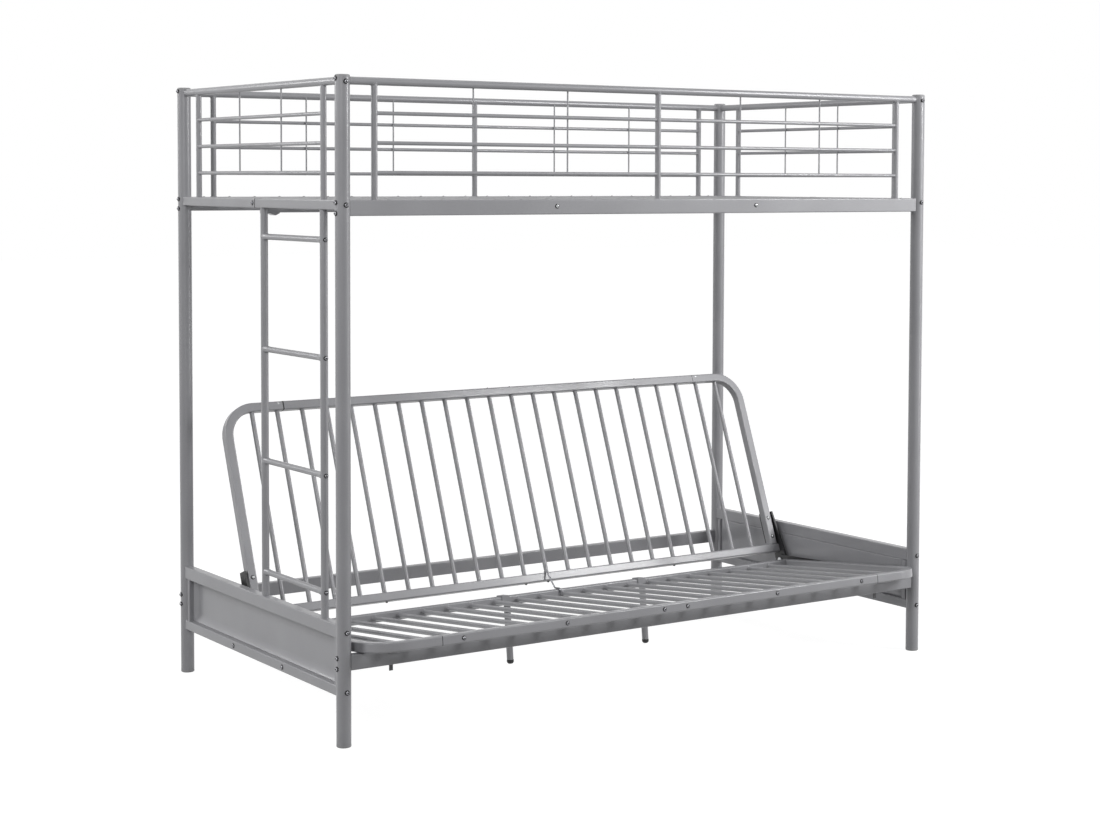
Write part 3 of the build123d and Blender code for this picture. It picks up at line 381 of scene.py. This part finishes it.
def weld_bead(name, tube, crossed):
    """A fillet weld round a tube's end, on a flat face or saddled over a crossed round tube."""
    bpy.ops.object.select_all(action="DESELECT")
    bpy.ops.mesh.primitive_torus_add(
        major_segments=24, minor_segments=8, major_radius=tube, minor_radius=BEAD)
    bead = bpy.context.object
    bead.name = name
    for vertex in bead.data.vertices:
        angle = math.atan2(vertex.co.y, vertex.co.x)
        ripple = 0.16 * math.sin(9 * angle) + 0.1 * math.sin(4 * angle + 1)
        vertex.co += vertex.normal * BEAD * ripple
        if crossed:
            across = min(abs(vertex.co.x), 0.98 * crossed)
            vertex.co.z -= crossed - math.sqrt(crossed ** 2 - across ** 2)
    bpy.ops.object.shade_smooth()
    bead.data.materials.clear()
    bead.data.materials.append(silver_paint)
    return bead


UP = (0, 0, 1)
places = []
for y in (FRONT_Y, REAR_Y):
    for z in BAR_ZS:
        for x in STILE_XS:
            if x < max(STILE_XS):
                places.append(((x + STILE_RADIUS, y, z), (1, 0, 0), UP))
            if x > min(STILE_XS):
                places.append(((x - STILE_RADIUS, y, z), (-1, 0, 0), UP))
for x in (-POST_X, POST_X):
    for z in BAR_ZS:
        places.append(((x, END_STILE_YS[0] + STILE_RADIUS, z), (0, 1, 0), UP))
        places.append(((x, END_STILE_YS[1] - STILE_RADIUS, z), (0, -1, 0), UP))
set_out(weld_bead("bar_weld", BAR_RADIUS, STILE_RADIUS), "bar_welds", "root", places)

under_rail = TOP_RAIL_Z - TOP_RAIL_RADIUS
side_stiles = [(x, y) for x in STILE_XS for y in (FRONT_Y, REAR_Y)]
end_stiles = [(x, y) for x in (-POST_X, POST_X) for y in END_STILE_YS]
places = [((x, y, under_rail), (0, 0, -1), (1, 0, 0)) for x, y in side_stiles]
places += [((x, y, under_rail), (0, 0, -1), (0, 1, 0)) for x, y in end_stiles]
bead = weld_bead("stile_top_weld", STILE_RADIUS, TOP_RAIL_RADIUS)
set_out(bead, "stile_top_welds", "root", places)
places = [((x, y, DECK_TOP_Z), UP, (1, 0, 0)) for x, y in side_stiles + end_stiles]
set_out(weld_bead("stile_foot_weld", STILE_RADIUS, 0), "stile_foot_welds", "root", places)

# Guard wires: thin rods on the inner side of the bars, spot welded to each bar they cross.
# They carry the same silver coat as the guard.
dress(silver_paint, "guard_wires")

# Deck: two rectangular side rails, square end rails and round cross slats, welded.
# A square beam runs under the slats between two folded brackets.
SLAT_PITCH = 0.080
DECK_SLATS = 24
DECK_SLAT_RADIUS = 0.0065
RAIL_HALF_DEPTH = 0.011
dress(silver_paint, "deck_front_rail", "deck_rear_rail", "deck_end_rails", "deck_slats",
      "deck_centre_beam")


def slat_xs(count):
    """The slats' places along the bed, at one pitch about its middle."""
    return [(i - (count - 1) / 2) * SLAT_PITCH for i in range(count)]


slat_z = DECK_TOP_Z - DECK_SLAT_RADIUS
places = []
for x in slat_xs(DECK_SLATS):
    places.append(((x, FRONT_Y + RAIL_HALF_DEPTH, slat_z), (0, 1, 0), UP))
    places.append(((x, REAR_Y - RAIL_HALF_DEPTH, slat_z), (0, -1, 0), UP))
set_out(weld_bead("deck_slat_weld", DECK_SLAT_RADIUS, 0), "deck_slat_welds", "root", places)

# Beam brackets: folded strips that cradle the beam's ends and are welded to the end rails.
# The strip dips to a shallow V under the beam; its two cheeks stand beside it.
BEAM_LOW_Z = 1.3367
CRADLE_X = 0.918
CRADLE_WIDTH = 0.0285
# The strip's outline: how far it runs towards the end rail, and its height under the beam.
CRADLE_ROWS = ((0, -0.0016), (0.012, -0.0070), (0.028, -0.0016), (0.0443, -0.0016))
CHEEK_TOP = 0.016
STRIP = 0.0016
bpy.ops.object.select_all(action="DESELECT")
spans = len(CRADLE_ROWS) - 1
bpy.ops.mesh.primitive_grid_add(x_subdivisions=1, y_subdivisions=spans, size=1)
cradle = bpy.context.object
cradle.name = "beam_cradle"
for vertex in cradle.data.vertices:
    run, height = CRADLE_ROWS[round(spans * (vertex.co.y + 0.5))]
    vertex.co = (CRADLE_WIDTH * vertex.co.x, run, height)
bpy.ops.object.mode_set(mode="EDIT")
bpy.ops.mesh.select_mode(type="EDGE")
bpy.ops.mesh.select_all(action="DESELECT")
mesh = bmesh.from_edit_mesh(cradle.data)
for edge in mesh.edges:
    edge.select_set(abs(edge.verts[0].co.x - edge.verts[1].co.x) < STRIP)
bmesh.update_edit_mesh(cradle.data)
bpy.ops.mesh.extrude_edges_move(TRANSFORM_OT_translate={"value": (0, 0, CHEEK_TOP)})
bpy.ops.object.mode_set(mode="OBJECT")
for vertex in cradle.data.vertices:
    if vertex.co.z > 0:
        vertex.co.z = CHEEK_TOP
wall = cradle.modifiers.new("wall", "SOLIDIFY")
wall.thickness = STRIP
wall.offset = 0
soft = cradle.modifiers.new("soft", "BEVEL")
soft.width = STRIP / 4
soft.segments = 2
bpy.context.view_layer.objects.active = cradle
bpy.ops.object.modifier_apply(modifier="wall")
bpy.ops.object.modifier_apply(modifier="soft")
cradle.data.materials.append(silver_paint)
beam_cradles = set_out(cradle, "beam_cradles", "root", [
    ((side * CRADLE_X, MID_Y, BEAM_LOW_Z), UP, (side, 0, 0)) for side in (-1, 1)])
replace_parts(beam_cradles, "deck_beam_brackets")

# End rail joints: each end rail is two tubes that meet on an inner sleeve.
# The joint's gap is a dark band of painted shade beside the rolled lip of the outer tube.


def square_band(name, size, corner, width, material):
    """A band round a square tube, across the plane z 0, with rounded corners and soft edges."""
    bpy.ops.object.select_all(action="DESELECT")
    bpy.ops.mesh.primitive_cube_add(size=1)
    band = bpy.context.object
    band.name = name
    bpy.ops.object.mode_set(mode="EDIT")
    bpy.ops.transform.resize(value=(size, size, width))
    bpy.ops.mesh.select_mode(type="EDGE")
    bpy.ops.mesh.select_all(action="DESELECT")
    mesh = bmesh.from_edit_mesh(band.data)
    for edge in mesh.edges:
        ends = [vertex.co for vertex in edge.verts]
        edge.select_set(abs(ends[0].z - ends[1].z) > width / 2)
    bmesh.update_edit_mesh(band.data)
    bpy.ops.mesh.bevel(offset=corner, segments=5, affect="EDGES")
    pick_faces(band, lambda centre, normal: abs(normal.z) > 0.9)
    bpy.ops.mesh.bevel(offset=width / 5, segments=2, affect="EDGES")
    bpy.ops.object.mode_set(mode="OBJECT")
    bpy.ops.object.shade_smooth_by_angle(angle=math.radians(40))
    band.data.materials.clear()
    band.data.materials.append(material)
    return band


shadow_gap, tree, place = new_material("painted_gap_shade")
# Painted shade in the joints' gaps: dull and dark, its tone varied in flecks about 1 mm apart.
marks = node(tree, "ShaderNodeTexNoise", {"Scale": 1000 / 1.0, "Detail": 2}, {"Vector": place})
tone = node(tree, "ShaderNodeValToRGB", None, {"Fac": marks.outputs["Fac"]})
tone.color_ramp.elements[0].color = linear("#1a1a1b")
tone.color_ramp.elements[1].color = linear("#2e2e30")
gap_shade = node(tree, "ShaderNodeBsdfPrincipled", {"Roughness": 0.7},
            {"Base Color": tone.outputs["Color"]})
node(tree, "ShaderNodeOutputMaterial", None, {"Surface": gap_shade.outputs["BSDF"]})

JOINT_Y = 0.033
LIP_Y = 0.0366
END_RAIL_Z = 1.3625
places = [((x, JOINT_Y, END_RAIL_Z), (0, 1, 0), UP) for x in (-POST_X, POST_X)]
band = square_band("end_rail_gap", size=0.0258, corner=0.0034, width=0.0040, material=shadow_gap)
set_out(band, "end_rail_gaps", "root", places)
places = [((x, LIP_Y, END_RAIL_Z), (0, 1, 0), UP) for x in (-POST_X, POST_X)]
band = square_band("end_rail_lip", size=0.0260, corner=0.0035, width=0.0036, material=silver_paint)
set_out(band, "end_rail_lips", "root", places)

# Ladder: two round rails between the left panel and the deck, and four rungs.
# Each rung has flared ends that sit on the rails, pulled tight by a screw through the rail.
RUNG_ZS = (1.2735, 0.974, 0.6745, 0.375)
LADDER_YS = (MID_Y - 0.378, MID_Y - 0.037)
LADDER_RAIL_RADIUS = 0.010
dress(silver_paint, "ladder_rails", "ladder_rungs")
places = []
for i, z in enumerate(RUNG_ZS):
    places.append(((-POST_X, LADDER_YS[0] - LADDER_RAIL_RADIUS, z), (0, -1, 0), turned(i)))
    places.append(((-POST_X, LADDER_YS[1] + LADDER_RAIL_RADIUS, z), (0, 1, 0), turned(i + 5)))
head = button_head("ladder_screw", radius=0.0062, height=0.0030, sunk=0.0024, steel=nickel_plate)
ladder_screws = set_out(head, "ladder_screws", "root", places)
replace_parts(ladder_screws, "ladder_bolts")

# Lower side rails and end panels: rectangular tube with short uprights between the rails.
# The rails are screwed to the posts, the uprights are welded, and all have the silver coat.
dress(silver_paint, "lower_front_rail", "lower_rear_rail", "panel_left_top_rail",
      "panel_right_top_rail", "panel_left_foot_rail", "panel_right_foot_rail", "panel_uprights")

# Panel sheets: 1.5 mm steel pressed so that the field lies at the inner side of the tubes.
# The rim rolls outward along the foot rail and uprights; a groove runs under the top rail.
SHEET_FIELD_X = 0.96125
SHEET_YS = (MID_Y - 0.4447, MID_Y + 0.4447)
SHEET_ZS = (0.1542, 0.2785)
SHEET_WALL = 0.0015
ROLL = 0.026
ROLL_DEPTH = 0.0090
GROOVE_Z = 0.2742
GROOVE_HALF = 0.0022
GROOVE_DEPTH = 0.0026
# The grid's cells, and the share of its rows below the top of the foot band and of the field.
SHEET_COLUMNS = 120
SHEET_ROWS = 40
FOOT_BAND = 0.028
FOOT_SHARE = 0.45
GROOVE_BAND = 0.009
FIELD_SHARE = 0.6


def level_of(share):
    """The height of a grid row: rows lie closer at the rolled foot and round the groove."""
    low_edge, high_edge = SHEET_ZS
    stops = ((0, low_edge), (FOOT_SHARE, low_edge + FOOT_BAND),
             (FIELD_SHARE, high_edge - GROOVE_BAND), (1, high_edge))
    for (low, low_z), (high, high_z) in zip(stops, stops[1:]):
        if share <= high:
            return low_z + (high_z - low_z) * (share - low) / (high - low)
    return high_edge


def pressed_sheet(name, side):
    """One sheet, as a fine grid whose rim is rolled outward and then given its wall."""
    bpy.ops.object.select_all(action="DESELECT")
    bpy.ops.mesh.primitive_grid_add(x_subdivisions=SHEET_COLUMNS, y_subdivisions=SHEET_ROWS, size=1)
    sheet = bpy.context.object
    sheet.name = name
    for vertex in sheet.data.vertices:
        y = SHEET_YS[0] + (SHEET_YS[1] - SHEET_YS[0]) * (vertex.co.x + 0.5)
        z = level_of(vertex.co.y + 0.5)
        near_end = max(0, 1 - min(y - SHEET_YS[0], SHEET_YS[1] - y) / ROLL)
        near_foot = max(0, 1 - (z - SHEET_ZS[0]) / ROLL)
        rolled = (near_end ** 4 + near_foot ** 4) ** 0.5
        groove = max(0, 1 - abs(z - GROOVE_Z) / GROOVE_HALF) * GROOVE_DEPTH
        vertex.co = (side * (SHEET_FIELD_X + max(ROLL_DEPTH * min(rolled, 1), groove)), y, z)
    wall = sheet.modifiers.new("wall", "SOLIDIFY")
    wall.thickness = SHEET_WALL
    wall.offset = 0
    bpy.context.view_layer.objects.active = sheet
    bpy.ops.object.modifier_apply(modifier="wall")
    bpy.ops.object.mode_set(mode="EDIT")
    bpy.ops.mesh.select_all(action="SELECT")
    bpy.ops.mesh.normals_make_consistent(inside=False)
    bpy.ops.object.mode_set(mode="OBJECT")
    bpy.ops.object.shade_smooth_by_angle(angle=math.radians(40))
    sheet.data.materials.append(silver_paint)
    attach(sheet, "root")
    return sheet


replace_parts(pressed_sheet("left_pressed_sheet", -1), "panel_left_sheet")
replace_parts(pressed_sheet("right_pressed_sheet", 1), "panel_right_sheet")

# Rail screws: nickel-plated heads on the ends of the bed, bright zinc ones on the front rail.
# Those on the ends hold the middle beam's brackets and the hinge brackets inside the panels.
bright_zinc, tree, place = new_material("zinc_plated_steel")
# Plating: clear passivate in clouds of about 4 mm, over a fine rolled grain of 0.6 mm.
bloom = node(tree, "ShaderNodeTexNoise", {"Scale": 1000 / 4, "Detail": 3}, {"Vector": place})
tone = node(tree, "ShaderNodeValToRGB", None, {"Fac": bloom.outputs["Fac"]})
tone.color_ramp.elements[0].color = linear("#a9acae")
tone.color_ramp.elements[1].color = linear("#c9cacb")
rolled = node(tree, "ShaderNodeTexNoise", {"Scale": 1000 / 0.6, "Detail": 2}, {"Vector": place})
satin = node(tree, "ShaderNodeMapRange", {"To Min": 0.2, "To Max": 0.38},
             {"Value": rolled.outputs["Fac"]})
zinc = node(tree, "ShaderNodeBsdfPrincipled", {"Metallic": 1.0},
            {"Base Color": tone.outputs["Color"], "Roughness": satin.outputs["Result"]})
node(tree, "ShaderNodeOutputMaterial", None, {"Surface": zinc.outputs["BSDF"]})

END_RAIL_OUTER_X = 0.9875
BEAM_SCREW_Y = MID_Y + 0.009
PANEL_OUTER_X = 0.988
BRACKET_SCREW_YS = (MID_Y - 0.158, MID_Y + 0.142)
PANEL_FOOT_Z = 0.1405
DECK_SCREW_X = 0.34
DECK_SCREW_Z = 1.357
SMALL_RADIUS = 0.0062
SMALL_HEAD = 0.0030
SMALL_SUNK = 0.0006
places = []
for side in (-1, 1):
    places.append(((side * END_RAIL_OUTER_X, BEAM_SCREW_Y, END_RAIL_Z), (side, 0, 0), turned(3)))
    places.append(((side * PANEL_OUTER_X, BRACKET_SCREW_YS[0], PANEL_FOOT_Z), (side, 0, 0), turned(4)))
    places.append(((side * PANEL_OUTER_X, BRACKET_SCREW_YS[1], PANEL_FOOT_Z), (side, 0, 0), turned(6)))
head = button_head("end_screw", radius=0.0070, height=SMALL_HEAD, sunk=SMALL_SUNK, steel=nickel_plate)
end_screws = set_out(head, "end_screws", "root", places)
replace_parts(end_screws, "rail_bolts")
places = [((x, FRONT_Y - RAIL_HALF_DEPTH, DECK_SCREW_Z), (0, -1, 0), turned(i))
          for i, x in enumerate((-DECK_SCREW_X, DECK_SCREW_X))]
head = button_head("deck_screw", SMALL_RADIUS, SMALL_HEAD, SMALL_SUNK, bright_zinc)
deck_screws = set_out(head, "deck_screws", "root", places)
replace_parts(deck_screws, "rail_bolts")

# Hinge: stamped brackets on the panels and link plates on the seat, powder coated in black.
# The black coat is glossier than the silver one. The turned pivot pins are zinc plated.
black_paint, tree, place = new_material("black_powder_coat")
# Orange peel: skin waves drawn at 2.5 mm, as on the silver coat.
peel = node(tree, "ShaderNodeTexNoise", {"Scale": 1000 / 2.5, "Detail": 3}, {"Vector": place})
tone = node(tree, "ShaderNodeValToRGB", None, {"Fac": peel.outputs["Fac"]})
tone.color_ramp.elements[0].color = linear("#141415")
tone.color_ramp.elements[1].color = linear("#1e1e20")
skin = node(tree, "ShaderNodeBump", {"Strength": 0.2, "Distance": 0.0004},
            {"Height": peel.outputs["Fac"]})
gloss = node(tree, "ShaderNodeMapRange", {"To Min": 0.35, "To Max": 0.5},
             {"Value": peel.outputs["Fac"]})
coat = node(tree, "ShaderNodeBsdfPrincipled", {"IOR": 1.5},
            {"Base Color": tone.outputs["Color"], "Roughness": gloss.outputs["Result"],
             "Normal": skin.outputs["Normal"]})
node(tree, "ShaderNodeOutputMaterial", None, {"Surface": coat.outputs["BSDF"]})
dress(black_paint, "guide_brackets", "rest_brackets", "link_plates")
dress(bright_zinc, "pivot_pins")

# Glides: pads of grey nylon that carry the seat on the front lower rail.
# Nylon is moulded with a satin face and darkens a little where it has rubbed.
nylon, tree, place = new_material("moulded_nylon")
rubbed = node(tree, "ShaderNodeTexNoise", {"Scale": 1000 / 6, "Detail": 3}, {"Vector": place})
tone = node(tree, "ShaderNodeValToRGB", None, {"Fac": rubbed.outputs["Fac"]})
tone.color_ramp.elements[0].color = linear("#4a4a4c")
tone.color_ramp.elements[1].color = linear("#626264")
slick = node(tree, "ShaderNodeMapRange", {"To Min": 0.3, "To Max": 0.5},
             {"Value": rubbed.outputs["Fac"]})
moulded = node(tree, "ShaderNodeBsdfPrincipled", {"IOR": 1.53},
               {"Base Color": tone.outputs["Color"], "Roughness": slick.outputs["Result"]})
node(tree, "ShaderNodeOutputMaterial", None, {"Surface": moulded.outputs["BSDF"]})
dress(nylon, "glide_pads", "glide_tongues")

# Seat: square tube bent at the front corners, a straight front and rear rail, round slats.
# The slats are welded between the rails; the front rail meets the bent pieces on sleeves.
GLIDE_Z = 0.2333
SLOPE = math.radians(6.376)
SEAT_MID = 0.014
SEAT_FRONT = -0.0851
SEAT_REAR = 0.5319
HALF_TUBE = 0.013
FRAME_SLATS = 22
FRAME_SLAT_RADIUS = 0.0065
SEAM_X = 0.743
dress(silver_paint, "seat_front_rail", "seat_rear_rail", "seat_side_left", "seat_side_right",
      "seat_slats")
SEAT_IN = (0, math.cos(SLOPE), -math.sin(SLOPE))
SEAT_OUT = (0, -math.cos(SLOPE), math.sin(SLOPE))
SEAT_UP = (0, math.sin(SLOPE), math.cos(SLOPE))


def seat_point(x, run, rise):
    """A point of the seat: along the bed, back from the glides' axis, and up off the slope."""
    return (x, FRONT_Y + run * math.cos(SLOPE) + rise * math.sin(SLOPE),
            GLIDE_Z - run * math.sin(SLOPE) + rise * math.cos(SLOPE))


places = []
for x in slat_xs(FRAME_SLATS):
    places.append((seat_point(x, SEAT_FRONT + HALF_TUBE, SEAT_MID), SEAT_IN, SEAT_UP))
    places.append((seat_point(x, SEAT_REAR - HALF_TUBE, SEAT_MID), SEAT_OUT, SEAT_UP))
set_out(weld_bead("seat_slat_weld", FRAME_SLAT_RADIUS, 0), "seat_slat_welds", "seat", places)
# Painted shade: a dark band draws the gap at each joint of the front rail.
places = [(seat_point(x, SEAT_FRONT, SEAT_MID), (1, 0, 0), SEAT_UP) for x in (-SEAM_X, SEAM_X)]
band = square_band("seat_gap", size=0.0262, corner=0.0041, width=0.0026, material=shadow_gap)
set_out(band, "seat_gaps", "seat", places)

# Seat screws: nickel-plated heads on the front rail's face, zinc ones on the link plates.
# Those in front pin the rail to the sleeves inside it, and those at the sides hold the hinge.
SEAT_SCREW_XS = (0.040, 0.360, 0.680)
LINK_OUTER_X = 0.9425
LINK_SCREW_RUNS = (0.420, 0.510)
places = [(seat_point(side * x, SEAT_FRONT - HALF_TUBE, SEAT_MID), SEAT_OUT, turned(i + 3 * side))
          for side in (-1, 1) for i, x in enumerate(SEAT_SCREW_XS)]
head = button_head("seat_screw", SMALL_RADIUS, SMALL_HEAD, SMALL_SUNK, nickel_plate)
seat_screws = set_out(head, "seat_screws", "seat", places)
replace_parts(seat_screws, "seat_bolts")
places = [(seat_point(side * LINK_OUTER_X, run, SEAT_MID), (side, 0, 0), turned(i))
          for side in (-1, 1) for i, run in enumerate(LINK_SCREW_RUNS)]
head = button_head("link_screw", SMALL_RADIUS, SMALL_HEAD, SMALL_SUNK, bright_zinc)
link_screws = set_out(head, "link_screws", "seat", places)
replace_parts(link_screws, "link_bolts")

# Support legs: round tubes under the rear rail, hung from strap saddles.
# Each ends in a domed tip of black rubber, dull and faintly mottled.
dress(silver_paint, "support_legs", "leg_saddles")
rubber, tree, place = new_material("moulded_rubber")
# Mottle: dull patches about 2 mm across, left by the wax that frees it from the mould.
mottle = node(tree, "ShaderNodeTexNoise", {"Scale": 1000 / 2, "Detail": 3}, {"Vector": place})
tone = node(tree, "ShaderNodeValToRGB", None, {"Fac": mottle.outputs["Fac"]})
tone.color_ramp.elements[0].color = linear("#101011")
tone.color_ramp.elements[1].color = linear("#1f1f20")
matt_skin = node(tree, "ShaderNodeMapRange", {"To Min": 0.55, "To Max": 0.75},
                 {"Value": mottle.outputs["Fac"]})
moulded = node(tree, "ShaderNodeBsdfPrincipled", {"IOR": 1.52},
               {"Base Color": tone.outputs["Color"], "Roughness": matt_skin.outputs["Result"]})
node(tree, "ShaderNodeOutputMaterial", None, {"Surface": moulded.outputs["BSDF"]})
dress(rubber, "leg_tips")

# Back: the same square tube, bent at its top corners, with the same round slats.
# Its legs run down past a bottom rail to the hinge.
PIVOT_Y = 0.13804
PIVOT_Z = 0.19073
LEAN = math.radians(21.13)
BACK_LIFT = 0.0405
BACK_TOP = 0.626
BACK_SET = -0.008
FRAME_HALF_WIDTH = 0.9255
RIVET_RADIUS = 0.0030
RIVET_X = 0.758
RIVET_RISE = 0.006
dress(silver_paint, "back_side_left", "back_side_right", "back_top_rail", "back_bottom_rail",
      "back_slats")
BACK_UP = (0, math.sin(LEAN), math.cos(LEAN))
BACK_DOWN = (0, -math.sin(LEAN), -math.cos(LEAN))
BACK_FRONT = (0, -math.cos(LEAN), math.sin(LEAN))
BACK_REAR = (0, math.cos(LEAN), -math.sin(LEAN))


def back_point(x, rise, out):
    """A point of the back: along the bed, up the back from the pivots, and out to the front."""
    return (x, PIVOT_Y + rise * math.sin(LEAN) - out * math.cos(LEAN),
            PIVOT_Z + rise * math.cos(LEAN) + out * math.sin(LEAN))


places = []
for x in slat_xs(FRAME_SLATS):
    places.append((back_point(x, BACK_TOP - HALF_TUBE, BACK_SET), BACK_DOWN, BACK_FRONT))
    places.append((back_point(x, BACK_LIFT + HALF_TUBE, BACK_SET), BACK_UP, BACK_FRONT))
set_out(weld_bead("back_slat_weld", FRAME_SLAT_RADIUS, 0), "back_slat_welds", "back", places)
# Painted shade in the back's joints: the left one stands open a little, and the right one is pushed
# home.
places = [(back_point(-SEAM_X, BACK_TOP, BACK_SET), (1, 0, 0), BACK_UP)]
band = square_band("back_gap", size=0.0266, corner=0.0042, width=0.0046, material=shadow_gap)
set_out(band, "back_gap_left", "back", places)
places = [(back_point(SEAM_X, BACK_TOP, BACK_SET), (1, 0, 0), BACK_UP)]
band = square_band("back_gap", size=0.0262, corner=0.0041, width=0.0018, material=shadow_gap)
set_out(band, "back_gap_right", "back", places)
# A small rivet pins each corner piece to the sleeve inside the rail's joint.
bpy.ops.object.select_all(action="DESELECT")
bpy.ops.mesh.primitive_uv_sphere_add(segments=16, ring_count=8, radius=RIVET_RADIUS)
rivet = bpy.context.object
rivet.name = "sleeve_rivet"
bpy.ops.object.mode_set(mode="EDIT")
bpy.ops.mesh.select_all(action="SELECT")
bpy.ops.transform.resize(value=(1, 1, 0.4))
bpy.ops.object.mode_set(mode="OBJECT")
bpy.ops.object.shade_smooth()
rivet.data.materials.append(bright_zinc)
set_out(rivet, "sleeve_rivets", "back", [
    (back_point(side * RIVET_X, BACK_TOP + RIVET_RISE, BACK_SET + HALF_TUBE), BACK_FRONT, BACK_UP)
    for side in (-1, 1)])

# Back arms: stamped plates with a folded flange, bolted to the back's legs.
# They carry the same black powder coat as the hinge's plates.
dress(black_paint, "back_arms")

# Back screws: zinc heads on both faces of each leg, small black ones in the cross rails.
# The small ones close the rails' sleeves; their heads stand on the tubes' outer faces.
ARM_SCREW_RISES = (0.079, 0.1405)
LEG_FRONT = 0.005
ARM_REAR = -0.025
RAIL_SCREW_XS = (-0.518, -0.040, 0.040, 0.518)
places = []
for side in (-1, 1):
    for i, rise in enumerate(ARM_SCREW_RISES):
        x = side * FRAME_HALF_WIDTH
        places.append((back_point(x, rise, LEG_FRONT), BACK_FRONT, turned(i + side)))
        places.append((back_point(x, rise, ARM_REAR), BACK_REAR, turned(i + 2 * side)))
head = button_head("arm_screw", SMALL_RADIUS, SMALL_HEAD, SMALL_SUNK, bright_zinc)
arm_screws = set_out(head, "arm_screws", "back", places)
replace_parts(arm_screws, "back_bolts")
places = []
for i, x in enumerate(RAIL_SCREW_XS):
    places.append((back_point(x, BACK_TOP + HALF_TUBE, BACK_SET), BACK_UP, turned(i)))
    places.append((back_point(x, BACK_LIFT - HALF_TUBE, BACK_SET), BACK_DOWN, turned(i + 4)))
head = button_head("back_screw", radius=0.0048, height=0.0034, sunk=0.0005, steel=black_oxide_and_socket_shade)
back_screws = set_out(head, "back_screws", "back", places)
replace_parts(back_screws, "back_bolts")

# Stay: one wire of drawn steel, nickel plated, with a hook bent at each end.
# It lies over the back's bottom rail and grips the seat's rear rail from above.
dress(nickel_plate, "stay_wire")
